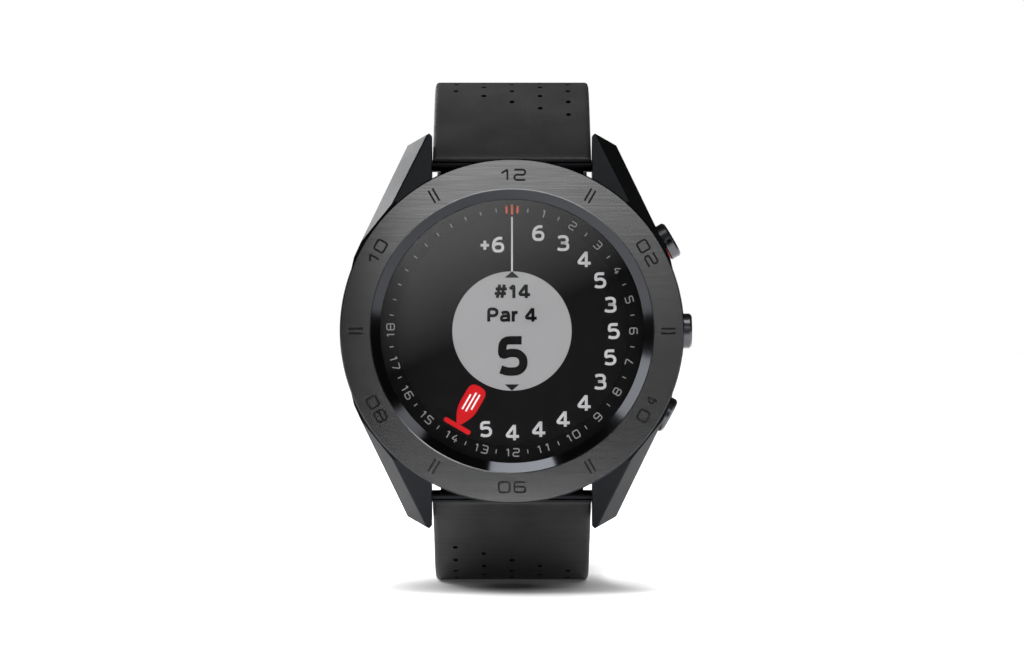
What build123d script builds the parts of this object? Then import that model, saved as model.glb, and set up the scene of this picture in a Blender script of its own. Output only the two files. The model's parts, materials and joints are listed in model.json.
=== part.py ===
from build123d import *
from math import cos, degrees, radians, sin
import os

# A round golf watch on a two-part leather strap, in millimetres.
# The origin is the middle of the face of the case back that lies on the wrist.
# +Z points to 12 o'clock, +X to the buttons, and the dial faces -Y.
# Heights are measured from the case back towards the dial, along -Y.

# ---- head: driving dimensions ----
case_radius = 20.4
case_back_level = 0.9
case_front_level = 8.4
case_edge_bevel = 1.0
cavity_radius = 15.6
cut_margin = 1.0

bezel_overhang = 0.7
bezel_slope_run = 1.14
bezel_break_run = 0.12
bezel_break_drop = 0.037
window_radius = 16.2
glass_recess = 0.9
bezel_lip = 0.25
bezel_edge_bevel = 0.15
bezel_undercut = 0.6
engraving_depth = 0.25
paint_recess = 0.05

glass_lap = 0.4
glass_thickness = 1.5
gasket_wall = 0.7

case_rim = 2.4
cover_thickness = 1.5
cover_gap = 0.05
cover_flat_radius = 13.0
cover_edge_level = 0.5
cover_groove_inset = 1.6
cover_groove_width = 0.35
cover_groove_depth = 0.15
spigot_wall = 1.0
spigot_height = 1.0
seal_width = 0.5
seal_height = 0.8
seal_seat_gap = 0.1

screw_count = 4
screw_start_angle = 45.0
screw_inset = 1.2
screw_radius = 0.6
screw_head_radius = 0.85
screw_head_height = 0.7
screw_depth = 2.2
screw_sink = 0.15

contact_count = 4
contact_spacing = 2.54
contact_radius = 0.6
contact_row_offset = -9.0
contact_length = 2.4

# ---- lugs and strap bars ----
lug_gap = 20.0
lug_length = 4.2
lug_tip_width = 3.05
lug_tip_corner = 0.3
lug_shoulder_drop = 1.4
lug_back_level = 0.3
lug_top_gap = 0.1
lug_inner_from = 14.0
lug_crest_aside = 0.6
lug_crest_short = 0.3
lug_crest_start_level = 8.3
lug_crest_end_level = 4.6
lug_inner_level = 8.1
lug_outer_fall = 1.38
lug_toe_level = 1.7
lug_toe_run = 2.4
lug_pocket_room = 2.1
lug_pocket_roof = 0.4
lug_edge = 0.15

bar_standoff = 0.2
bar_level = 2.8
bar_radius = 0.75
bar_tip_radius = 0.5
bar_tip_length = 1.2
bar_end_gap = 0.05

# ---- strap ----
strap_side_gap = 0.1
strap_buckle_width = 17.6
taper_from = 17.0
strap_lean = 54.0
first_run = 12.5
shoulder_radius = 17.0
buckle_side_radius = 45.0
buckle_side_turn = 45.0
buckle_run = 18.0
tail_radius = 80.0
tail_length = 92.0
leather_thickness = 1.4
lining_thickness = 1.2
strap_end_gap = 0.1
tail_tip_length = 6.5
tang_hole_radius = 0.95
tang_hole_count = 7
tang_hole_spacing = 6.5
tang_hole_from_tip = 20.0

hook_wall = 0.67
hook_clearance = 0.08
hook_side_gap = 1.0
hook_from = 152.0
hook_to = 318.0
tray_width = 15.0
tray_wall = 1.1
tray_floor = 0.6
tray_end_wall = 0.6
rail_gap = 0.5
tray_length = 6.6
tray_depth_into_leather = 0.6
pocket_gap = 0.1
latch_gap = 0.2
latch_slide_gap = 0.08
latch_nose_gap = 0.15
latch_length = 3.4
latch_travel = 1.0
latch_knob_width = 3.8
latch_knob_length = 1.4
latch_knob_from = 2.2
latch_knob_proud = 0.45
latch_spring_strip = 0.12
latch_spring_height = 0.8

buckle_bar_radius = 0.7
buckle_pivot_radius = 0.45
buckle_pivot_gap = 0.05
buckle_arm_width = 1.9
buckle_side_gap = 0.3
buckle_length = 10.4
buckle_front_bar = 2.0
buckle_thickness = 1.8
buckle_eye_radius = 1.3
buckle_corner = 2.2
buckle_edge = 0.3
leather_loop_radius = 1.6
leather_loop_gap = 0.08
lining_stop = 2.2

tang_width = 2.4
tang_slot_gap = 0.4
tang_slot_length = 4.0
tang_reach = 11.1
tang_ring_radius = 1.35
tang_lift = 0.12
tang_thickness = 0.85
tang_bend = 0.9
tang_tip_height = 0.4
tang_tip_slope = 0.5

keeper_length = 4.2
keeper_wall = 1.2
keeper_room = 2.8
keeper_gap = 0.2
keeper_fixed_from = 9.0
keeper_free_from = 17.2
keeper_corner = 1.4
keeper_inner_corner = 0.4

# ---- buttons ----
button_level = 5.0
button_angles = {"top": 30.0, "middle": 0.0, "bottom": -28.5}
button_cap_radius = {"top": 2.3, "middle": 2.175, "bottom": 2.25}
button_cap_gap = {"top": 1.25, "middle": 0.7, "bottom": 0.7}
button_cap_thickness = {"top": 1.35, "middle": 1.2, "bottom": 1.2}
button_collar_radius = 1.95
button_spring_room = 1.3
button_well_radius = 2.15
button_well_depth = 1.8
button_seat_radius = 2.65
button_seat_gap = 0.05
button_face_edge = 0.25
button_back_edge = 0.12
stem_radius = 0.9
stem_gap = 0.05
stem_reach_in = 0.9
stem_groove_radius = 0.6
clip_radius = 1.5
clip_gap = 0.3
clip_thickness = 0.3
stem_seal_inset = 1.3
stem_seal_width = 0.6
stem_seal_gap = 0.02
return_spring_radius = 1.5
return_spring_wire = 0.12
return_spring_turns = 2.5
knurl_grooves = 22
knurl_slant = 35.0
knurl_width = 0.26
knurl_depth = 0.14

# ---- inside the case ----
chassis_gap = 0.1
chassis_wall = 0.8
chassis_floor_gap = 0.2
chassis_to = 6.0
chassis_web = 0.6
chassis_window_width = 3.8
battery_size = (14.0, 19.0, 2.6)
battery_middle = (-3.5, 0.0)
battery_corner = 1.0
motor_radius = 4.0
motor_middle = (7.9, 0.0)
motor_thickness = 2.5
board_side_gap = 1.1
board_thickness = 0.6
board_gap = 0.1
chip_height = 0.7
display_side_gap = 1.0
display_thickness = 0.85
display_gap = 0.05
antenna_wall = 0.55
antenna_gap = 0.1
antenna_from = 7.0
antenna_height = 1.3
dial_lap = 0.5
dial_thickness = 0.2
dial_gap = 0.15
switch_gap = 0.7
switch_depth = 1.6
switch_size = (2.0, 2.4)

# ---- worked out from the above ----
glass_back_level = case_front_level + dial_thickness + dial_gap
glass_front_level = glass_back_level + glass_thickness
bezel_front_level = glass_front_level + bezel_lip + glass_recess
bezel_radius = case_radius + bezel_overhang
bezel_ring_inner_radius = window_radius + bezel_slope_run
glass_radius = window_radius + glass_lap
bezel_bore_radius = glass_radius + gasket_wall
cover_radius = case_radius - case_rim
cover_groove_radius = cover_flat_radius - cover_groove_inset
screw_circle_radius = cavity_radius + screw_inset
lug_tip_reach = case_radius + lug_length
bar_reach = case_radius + bar_standoff
lug_pocket_reach = bar_reach - lug_pocket_room
strap_width = lug_gap - 2 * strap_side_gap
hook_width = strap_width - 2 * hook_side_gap
stem_end = cavity_radius - stem_reach_in
clip_from = cavity_radius - clip_gap - clip_thickness
stem_seal_from = cavity_radius + stem_seal_inset
button_well_floor = case_radius - button_well_depth
button_collar_from = button_well_floor + button_spring_room
switch_face = stem_end - switch_gap
chassis_from = cover_thickness + spigot_height + chassis_floor_gap
board_radius = cavity_radius - board_side_gap
display_radius = cavity_radius - display_side_gap
dial_inner_radius = display_radius - dial_lap
antenna_outer_radius = cavity_radius - antenna_gap
antenna_inner_radius = antenna_outer_radius - antenna_wall
board_level = chassis_to + board_gap
display_from = case_front_level - display_gap - display_thickness
strap_outer = (leather_thickness + lining_thickness) / 2
strap_inner = -strap_outer
strap_split = strap_inner + lining_thickness
shoulder_turn = 90.0 - strap_lean
tail_turn = degrees(tail_length / tail_radius)
hook_inner_radius = bar_radius + hook_clearance
hook_radius = hook_inner_radius + hook_wall
tray_top = strap_split + tray_depth_into_leather
pocket_top = tray_top + pocket_gap / 2
bar_to_leather = bar_radius + strap_end_gap
latch_from = bar_radius + latch_nose_gap
X_DIRECTION = Vector(1, 0, 0)

SECTION = Plane(origin=(0, 0, 0), x_dir=(1, 0, 0), z_dir=(0, 0, -1))
SIDES = {"upper": 1, "lower": -1}

os.makedirs("parts", exist_ok=True)


def level(height):
    """Plane across the head at a height above the case back, facing the dial."""
    return Plane.XZ.offset(height)


def beside_case(beyond, angle):
    """A point of the head beyond the case's side, at an angle above 3 o'clock."""
    reach = case_radius + beyond
    return (reach * cos(radians(angle)), reach * sin(radians(angle)))


def button_plane(angle, distance=0.0):
    """Plane across a button's axis, at a distance from the middle of the watch."""
    outward = (cos(radians(angle)), 0, sin(radians(angle)))
    return Plane(origin=(0, -button_level, 0), x_dir=(0, -1, 0), z_dir=outward).offset(distance)


def strap_side(side):
    """Side view of one strap half: x along the strap from its bar, y outward from the wrist."""
    lean = radians(strap_lean)
    return Plane(
        origin=(0, -bar_level, side * bar_reach),
        x_dir=(0, sin(lean), side * cos(lean)),
        z_dir=(side, 0, 0),
    )


def head_point(x, z, height):
    """A point of the head from its place on the dial and its height."""
    return Vector(x, -height, z)


def plane_through(a, b, c):
    """Plane through three points, facing the wrist."""
    normal = (b - a).cross(c - a)
    if normal.Y < 0:
        normal = -normal
    return Plane(origin=a, x_dir=b - a, z_dir=normal)


def strap_line(offset, start, bends, last_run):
    """One long edge of a strap half in its side view, `offset` outward of the middle."""
    run = Line((start, offset), (first_run, offset))
    for radius, turn in bends:
        run = JernArc(run @ 1, run % 1, radius + offset, -turn)
    if last_run > 0:
        run = Line(run @ 1, run @ 1 + (run % 1) * last_run)
    return run


def strap_layer(inner, outer, bends, last_run):
    """Outline of one layer of a strap half, cut square to the dial beside its bar."""
    lean = radians(strap_lean)
    outer_start = (bar_to_leather - outer * sin(lean)) / cos(lean)
    inner_start = (bar_to_leather - inner * sin(lean)) / cos(lean)
    outer_end = strap_line(outer, outer_start, bends, last_run) @ 1
    inner_end = strap_line(inner, inner_start, bends, last_run) @ 1
    Line((inner_start, inner), (outer_start, outer))
    Line(outer_end, inner_end)


def across_strap(wire, distance, side):
    """Plane on the strap's outer side, with y along the strap, at a distance down its middle."""
    origin = wire.position_at(distance, position_mode=PositionMode.LENGTH)
    along = wire.tangent_at(distance, position_mode=PositionMode.LENGTH)
    return Plane(origin=origin, x_dir=X_DIRECTION * side, z_dir=X_DIRECTION.cross(along) * side)


def save(builder, name):
    """Label a finished piece and write it."""
    builder.part.label = name
    export_step(builder.part, "parts/" + name + ".step")


UPPER_BENDS = ((shoulder_radius, shoulder_turn), (buckle_side_radius, buckle_side_turn))
LOWER_BENDS = ((shoulder_radius, shoulder_turn), (tail_radius, tail_turn))

with BuildLine(strap_side(SIDES["upper"])) as upper_middle:
    strap_line(0, 0, UPPER_BENDS, buckle_run)

with BuildLine(strap_side(SIDES["lower"])) as lower_middle:
    strap_line(0, 0, LOWER_BENDS, 0)

upper_path = upper_middle.wire()
lower_path = lower_middle.wire()
BUCKLE_TOP = across_strap(upper_path, upper_path.length, SIDES["upper"])
BUCKLE_SIDE = Plane(origin=BUCKLE_TOP.origin, x_dir=BUCKLE_TOP.y_dir, z_dir=X_DIRECTION)
TAIL_TIP = across_strap(lower_path, lower_path.length, SIDES["lower"])

# Both strap halves keep their width down to taper_from and narrow evenly from there.
taper_run = BUCKLE_TOP.origin.Y - taper_from
taper_drop = (strap_width - strap_buckle_width) / 2
TAPER = Plane(
    origin=(strap_width / 2, taper_from, 0),
    x_dir=(0, 0, 1),
    z_dir=(-taper_run, -taper_drop, 0),
)


def cut_taper():
    """Trim both sides of the piece being built to the strap's taper."""
    split(bisect_by=TAPER, keep=Keep.TOP)
    mirrored = Plane(
        origin=(-strap_width / 2, taper_from, 0),
        x_dir=(0, 0, 1),
        z_dir=(taper_run, -taper_drop, 0),
    )
    split(bisect_by=mirrored, keep=Keep.TOP)


# ==== head ====

# Places along the flank of the lug at 1 o'clock, from its crest down to the barrel.
lug_crest_root = beside_case(1.26, 47.6)
lug_flank = beside_case(1.12, 25.0)
lug_blend = beside_case(0.67, 16.5)
lug_root = beside_case(-2.94, 13.2)

# Case: a bored barrel with four faceted lugs, a pocket between each pair for the
# strap, wells for the three buttons and a seat for the case back.
with BuildPart() as case_body:
    gap_edge = lug_gap / 2
    with BuildSketch(level(lug_back_level)):
        with BuildLine():
            Polyline(
                (gap_edge, lug_inner_from),
                (gap_edge, lug_tip_reach - lug_tip_corner),
                (gap_edge + lug_tip_corner, lug_tip_reach),
                (gap_edge + lug_tip_width, lug_tip_reach - lug_shoulder_drop),
                lug_flank,
                lug_blend,
                lug_root,
                close=True,
            )
        make_face()
    extrude(amount=case_front_level - lug_back_level - lug_top_gap)
    crest_start = head_point(*lug_crest_root, lug_crest_start_level)
    crest_end = head_point(
        gap_edge + lug_crest_aside, lug_tip_reach - lug_crest_short, lug_crest_end_level
    )
    inner_root = head_point(gap_edge, lug_crest_root[1], lug_inner_level)
    outer_side = crest_end + Vector(1, lug_outer_fall, 0)
    split(bisect_by=plane_through(crest_start, crest_end, inner_root), keep=Keep.TOP)
    split(bisect_by=plane_through(crest_start, crest_end, outer_side), keep=Keep.TOP)
    toe_start = head_point(0, lug_tip_reach - lug_toe_run, lug_back_level)
    toe_end = head_point(0, lug_tip_reach, lug_toe_level)
    toe_side = head_point(gap_edge, lug_tip_reach, lug_toe_level)
    toe = plane_through(toe_start, toe_end, toe_side)
    split(bisect_by=Plane(origin=toe.origin, x_dir=toe.x_dir, z_dir=-toe.z_dir), keep=Keep.TOP)
    crest = case_body.edges().sort_by_distance((crest_start + crest_end) / 2)[0]
    chamfer(crest, length=lug_edge)
    mirror(about=Plane.YZ)
    mirror(about=Plane.XY)
    with BuildSketch(SECTION):
        with BuildLine():
            Polyline(
                (cavity_radius, case_back_level),
                (case_radius - case_edge_bevel, case_back_level),
                (case_radius, case_back_level + case_edge_bevel),
                (case_radius, case_front_level),
                (cavity_radius, case_front_level),
                close=True,
            )
        make_face()
    revolve(axis=Axis.Y)
    with BuildSketch(level(-cut_margin)):
        for side in SIDES.values():
            with Locations((0, side * (lug_pocket_reach + lug_gap / 2))):
                Rectangle(lug_gap, lug_gap)
    extrude(amount=case_front_level - lug_pocket_roof + cut_margin, mode=Mode.SUBTRACT)
    with BuildSketch(level(-cut_margin)):
        Circle(cover_radius + cover_gap)
    extrude(amount=cover_thickness + cut_margin, mode=Mode.SUBTRACT)
    with BuildSketch(level(-cut_margin)):
        Circle(cavity_radius)
    extrude(amount=case_front_level + 2 * cut_margin, mode=Mode.SUBTRACT)
    for angle in button_angles.values():
        with BuildSketch(button_plane(angle, cavity_radius - cut_margin)):
            Circle(stem_radius + stem_gap)
        extrude(amount=case_radius - cavity_radius + cut_margin, mode=Mode.SUBTRACT)
        with BuildSketch(button_plane(angle, button_well_floor)):
            Circle(button_well_radius)
        extrude(amount=case_radius, mode=Mode.SUBTRACT)
        with BuildSketch(button_plane(angle, case_radius + button_seat_gap)):
            Circle(button_seat_radius)
        extrude(amount=case_radius, mode=Mode.SUBTRACT)
    with BuildSketch(level(cover_thickness)):
        with PolarLocations(screw_circle_radius, screw_count, start_angle=screw_start_angle):
            Circle(screw_radius)
    extrude(amount=screw_depth, mode=Mode.SUBTRACT)
    with BuildSketch(Plane.YZ):
        for side in SIDES.values():
            with Locations((-bar_level, side * bar_reach)):
                Circle(bar_tip_radius)
    extrude(amount=gap_edge + bar_tip_length + bar_end_gap, both=True, mode=Mode.SUBTRACT)
save(case_body, "case_body")

# Bezel: a ring with a broken inner edge, a polished slope down to the glass and a thin lip over it.
glyph_height = 1.5
glyph_width = 1.56
glyph_space = 0.36
glyph_stroke = 0.24
glyph_inset = 1.98
glyph_radius = bezel_radius - glyph_inset
glyph_corner = 0.3
tick_length = 1.75
tick_space = 0.58

# Each numeral is drawn as open strokes on a field one unit wide and one high.
GLYPHS = {
    "0": [[(0.5, 0), (1, 0), (1, 1), (0.5, 1)], [(0.5, 1), (0, 1), (0, 0), (0.5, 0)]],
    "1": [[(0.25, 0.66), (0.8, 1)], [(0.8, 1), (0.8, 0)]],
    "2": [[(0, 1), (1, 1), (1, 0.5), (0, 0.5), (0, 0), (1, 0)]],
    "4": [[(0.8, 0), (0.8, 1)], [(0.8, 1), (0, 0.3), (1, 0.3)]],
    "6": [[(1, 1), (0, 1), (0, 0), (0.5, 0)], [(0.5, 0), (1, 0), (1, 0.55), (0, 0.55)]],
    "8": [
        [(0.5, 0), (1, 0), (1, 1), (0.5, 1)],
        [(0.5, 1), (0, 1), (0, 0), (0.5, 0)],
        [(0, 0.52), (1, 0.52)],
    ],
}
BEZEL_NUMERALS = {0: "12", 60: "02", 120: "04", 180: "06", 240: "08", 300: "10"}


def turned(x, y, clock_angle):
    """A point turned clockwise about the middle of the dial."""
    angle = radians(clock_angle)
    return (x * cos(angle) + y * sin(angle), y * cos(angle) - x * sin(angle))


def draw_numeral(text, clock_angle):
    """Strokes of a two-digit numeral on the bezel, upright in the upper half."""
    lower_half = 90 < clock_angle < 270
    flip = -1 if lower_half else 1
    inset = glyph_stroke
    for place, digit in enumerate(text):
        middle = (place - 0.5) * (glyph_width + glyph_space)
        for stroke in GLYPHS[digit]:
            points = []
            for u, v in stroke:
                x = middle + (u - 0.5) * (glyph_width - inset)
                y = (v - 0.5) * (glyph_height - inset)
                points.append(turned(flip * x, glyph_radius + flip * y, clock_angle))
            with BuildLine() as pen:
                if len(points) == 2:
                    Line(*points)
                else:
                    FilletPolyline(*points, radius=glyph_corner)
            trace(pen.line, line_width=glyph_stroke)


def draw_bezel_marks():
    """The six numerals and, between them, six pairs of radial lines."""
    for clock_angle, text in BEZEL_NUMERALS.items():
        draw_numeral(text, clock_angle)
    for index in range(6):
        clock_angle = 30 + 60 * index
        for offset in (-tick_space / 2, tick_space / 2):
            with Locations(Location((*turned(offset, glyph_radius, clock_angle), 0), -clock_angle)):
                Rectangle(glyph_stroke, tick_length)


with BuildPart() as bezel:
    with BuildSketch(SECTION):
        with BuildLine():
            Polyline(
                (bezel_bore_radius, case_front_level),
                (bezel_radius - bezel_undercut, case_front_level),
                (bezel_radius, case_front_level + bezel_undercut),
                (bezel_radius, bezel_front_level - bezel_edge_bevel),
                (bezel_radius - bezel_edge_bevel, bezel_front_level),
                (bezel_ring_inner_radius + bezel_break_run, bezel_front_level),
                (bezel_ring_inner_radius, bezel_front_level - bezel_break_drop),
                (window_radius, bezel_front_level - glass_recess),
                (window_radius, glass_front_level),
                (bezel_bore_radius, glass_front_level),
                close=True,
            )
        make_face()
    revolve(axis=Axis.Y)
    with BuildSketch(level(bezel_front_level)):
        draw_bezel_marks()
    extrude(amount=-engraving_depth, mode=Mode.SUBTRACT)
save(bezel, "bezel")

with BuildPart() as bezel_paint:
    with BuildSketch(level(bezel_front_level - engraving_depth)):
        draw_bezel_marks()
    extrude(amount=engraving_depth - paint_recess)
save(bezel_paint, "bezel_paint")

with BuildPart() as glass:
    with BuildSketch(level(glass_back_level)):
        Circle(glass_radius)
    extrude(amount=glass_thickness)
save(glass, "glass")

with BuildPart() as glass_gasket:
    with BuildSketch(level(glass_back_level)):
        Circle(bezel_bore_radius)
        Circle(glass_radius, mode=Mode.SUBTRACT)
    extrude(amount=glass_thickness)
save(glass_gasket, "glass_gasket")

with BuildPart() as number_ring:
    with BuildSketch(level(case_front_level)):
        Circle(bezel_bore_radius - chassis_gap)
        Circle(dial_inner_radius, mode=Mode.SUBTRACT)
    extrude(amount=dial_thickness)
save(number_ring, "number_ring")

with BuildPart() as display_module:
    with BuildSketch(level(display_from)):
        Circle(display_radius)
    extrude(amount=display_thickness)
save(display_module, "display_module")

with BuildPart() as antenna_ring:
    with BuildSketch(level(antenna_from)):
        Circle(antenna_outer_radius)
        Circle(antenna_inner_radius, mode=Mode.SUBTRACT)
    extrude(amount=antenna_height)
save(antenna_ring, "antenna_ring")

with BuildPart() as main_board:
    with BuildSketch(level(board_level)):
        Circle(board_radius)
    extrude(amount=board_thickness)
save(main_board, "main_board")

# Chips: the receiver, the processor, memory, the power chip and the display socket.
CHIPS = (
    ((-4.5, 4.0), (6.5, 6.5)),
    ((5.0, 5.5), (5.0, 5.0)),
    ((-5.5, -5.0), (5.5, 4.0)),
    ((3.0, -3.0), (4.0, 4.0)),
    ((0.0, -10.5), (8.0, 2.0)),
)
with BuildPart() as board_chips:
    with BuildSketch(level(board_level + board_thickness)):
        for middle, size in CHIPS:
            with Locations(middle):
                Rectangle(*size)
    extrude(amount=chip_height)
save(board_chips, "board_chips")

# Chassis: a thin-walled cup that holds the battery and the motor under the board,
# open beside each button for its stem, clip and switch.
with BuildPart() as chassis:
    chassis_outer_radius = cavity_radius - chassis_gap
    with BuildSketch(level(chassis_from)):
        Circle(chassis_outer_radius)
    extrude(amount=chassis_to - chassis_from)
    with BuildSketch(level(chassis_from)):
        Circle(chassis_outer_radius - chassis_wall)
    extrude(amount=chassis_to - chassis_from - chassis_web, mode=Mode.SUBTRACT)
    for angle in button_angles.values():
        with BuildSketch(button_plane(angle, switch_face - switch_depth - chassis_gap)):
            Rectangle(chassis_to, chassis_window_width)
        extrude(amount=case_radius, mode=Mode.SUBTRACT)
save(chassis, "chassis")

with BuildPart() as battery:
    with BuildSketch(level(chassis_from)):
        with Locations(battery_middle):
            RectangleRounded(battery_size[0], battery_size[1], battery_corner)
    extrude(amount=battery_size[2])
save(battery, "battery")

with BuildPart() as vibration_motor:
    with BuildSketch(level(chassis_from)):
        with Locations(motor_middle):
            Circle(motor_radius)
    extrude(amount=motor_thickness)
save(vibration_motor, "vibration_motor")

with BuildPart() as button_switches:
    for angle in button_angles.values():
        with BuildSketch(button_plane(angle, switch_face - switch_depth)):
            Rectangle(*switch_size)
        extrude(amount=switch_depth - chassis_gap)
        with BuildSketch(button_plane(angle, switch_face - chassis_gap)):
            Circle(stem_radius / 2)
        extrude(amount=chassis_gap)
save(button_switches, "button_switches")

# Case back: a disc with a flat middle, a spigot for the seal, screw holes with
# sunk seats, and holes for the charging contacts.
spigot_radius = cavity_radius - seal_width
with BuildPart() as case_back:
    with BuildSketch(SECTION):
        with BuildLine():
            Polyline(
                (0, 0),
                (cover_flat_radius, 0),
                (cover_radius, cover_edge_level),
                (cover_radius, cover_thickness),
                (spigot_radius, cover_thickness),
                (spigot_radius, cover_thickness + spigot_height),
                (spigot_radius - spigot_wall, cover_thickness + spigot_height),
                (spigot_radius - spigot_wall, cover_thickness),
                (0, cover_thickness),
                close=True,
            )
        make_face()
    revolve(axis=Axis.Y)
    with BuildSketch(level(0)):
        Circle(cover_groove_radius + cover_groove_width)
        Circle(cover_groove_radius, mode=Mode.SUBTRACT)
    extrude(amount=cover_groove_depth, mode=Mode.SUBTRACT)
    with BuildSketch(level(0)):
        with PolarLocations(screw_circle_radius, screw_count, start_angle=screw_start_angle):
            Circle(screw_head_radius)
    extrude(amount=cover_thickness - screw_head_height + screw_sink, mode=Mode.SUBTRACT)
    with BuildSketch(level(0)):
        with PolarLocations(screw_circle_radius, screw_count, start_angle=screw_start_angle):
            Circle(screw_radius)
        with Locations((0, contact_row_offset)):
            with GridLocations(contact_spacing, 1, contact_count, 1):
                Circle(contact_radius)
    extrude(amount=cover_thickness, mode=Mode.SUBTRACT)
save(case_back, "case_back")

with BuildPart() as back_seal:
    with BuildSketch(level(cover_thickness + seal_seat_gap)):
        Circle(cavity_radius)
        Circle(spigot_radius, mode=Mode.SUBTRACT)
    extrude(amount=seal_height)
save(back_seal, "back_seal")

screw_seat_level = cover_thickness - screw_head_height + screw_sink
with BuildPart() as case_back_screws:
    with BuildSketch(level(screw_seat_level - screw_head_height / 2)):
        with PolarLocations(screw_circle_radius, screw_count, start_angle=screw_start_angle):
            Circle(screw_head_radius - cover_gap)
            RegularPolygon(screw_head_radius / 2, 6, mode=Mode.SUBTRACT)
    extrude(amount=screw_head_height / 2)
    with BuildSketch(level(screw_seat_level)):
        with PolarLocations(screw_circle_radius, screw_count, start_angle=screw_start_angle):
            Circle(screw_radius)
    extrude(amount=cover_thickness + screw_depth - screw_seat_level)
save(case_back_screws, "case_back_screws")

with BuildPart() as charging_contacts:
    with BuildSketch(level(0)):
        with Locations((0, contact_row_offset)):
            with GridLocations(contact_spacing, 1, contact_count, 1):
                Circle(contact_radius)
    extrude(amount=contact_length)
save(charging_contacts, "charging_contacts")

# ==== buttons ====

for name, angle in button_angles.items():
    cap_radius = button_cap_radius[name]
    cap_from = case_radius + button_cap_gap[name]
    cap_face = cap_from + button_cap_thickness[name]

    with BuildPart() as button:
        with BuildSketch(button_plane(angle, cap_from)):
            Circle(cap_radius)
        extrude(amount=cap_face - cap_from)
        rim = button.edges().filter_by(GeomType.CIRCLE).sort_by(lambda edge: edge.center().length)
        chamfer(rim[-1], length=button_face_edge)
        chamfer(rim[0], length=button_back_edge)
        with BuildSketch(button_plane(angle, button_collar_from)):
            Circle(stem_radius if name == "top" else button_collar_radius)
        extrude(amount=cap_from - button_collar_from)
        with BuildSketch(button_plane(angle, stem_end)):
            Circle(stem_radius)
        extrude(amount=cap_from - stem_end)
        for groove_from, groove_width in ((clip_from, clip_thickness), (stem_seal_from, stem_seal_width)):
            with BuildSketch(button_plane(angle, groove_from)):
                Circle(stem_radius)
                Circle(stem_groove_radius, mode=Mode.SUBTRACT)
            extrude(amount=groove_width, mode=Mode.SUBTRACT)
        if name == "top":
            middle = (cap_from + cap_face) / 2
            for index in range(knurl_grooves):
                turn = 360 * index / knurl_grooves
                flute = button_plane(angle, middle).rotated((0, 0, turn))
                flute = Plane(flute.origin + flute.x_dir * cap_radius, flute.y_dir, flute.x_dir)
                with BuildSketch(flute.rotated((0, 0, knurl_slant))):
                    Rectangle(knurl_width, cap_radius)
                extrude(amount=knurl_depth, both=True, mode=Mode.SUBTRACT)
    save(button, "button_" + name)

    with BuildPart() as clip:
        with BuildSketch(button_plane(angle, clip_from)):
            Circle(clip_radius)
            Circle(stem_groove_radius, mode=Mode.SUBTRACT)
            with Locations((clip_radius / 2, 0)):
                Rectangle(clip_radius, stem_groove_radius, mode=Mode.SUBTRACT)
        extrude(amount=clip_thickness)
    save(clip, "button_" + name + "_clip")

    with BuildPart() as stem_seal:
        with BuildSketch(button_plane(angle, stem_seal_from)):
            Circle(stem_radius + stem_gap - stem_seal_gap)
            Circle(stem_groove_radius, mode=Mode.SUBTRACT)
        extrude(amount=stem_seal_width)
    save(stem_seal, "button_" + name + "_seal")

    coil_height = button_spring_room - 2 * return_spring_wire
    coil_base = button_plane(angle, button_well_floor + return_spring_wire)
    with BuildPart() as return_spring:
        with BuildLine() as coil:
            Helix(
                coil_height / return_spring_turns,
                coil_height,
                return_spring_radius,
                center=coil_base.origin,
                direction=coil_base.z_dir,
            )
        with BuildSketch(Plane(origin=coil.line @ 0, z_dir=coil.line % 0)):
            Circle(return_spring_wire)
        sweep(path=coil.line, is_frenet=True)
    save(return_spring, "button_" + name + "_spring")

with BuildPart() as top_collar:
    with BuildSketch(button_plane(button_angles["top"], button_collar_from)):
        Circle(button_collar_radius)
        Circle(stem_radius, mode=Mode.SUBTRACT)
    extrude(amount=case_radius + button_cap_gap["top"] - button_collar_from)
save(top_collar, "button_top_collar")

# ==== strap bars, quick-release ends and latches ====

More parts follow.
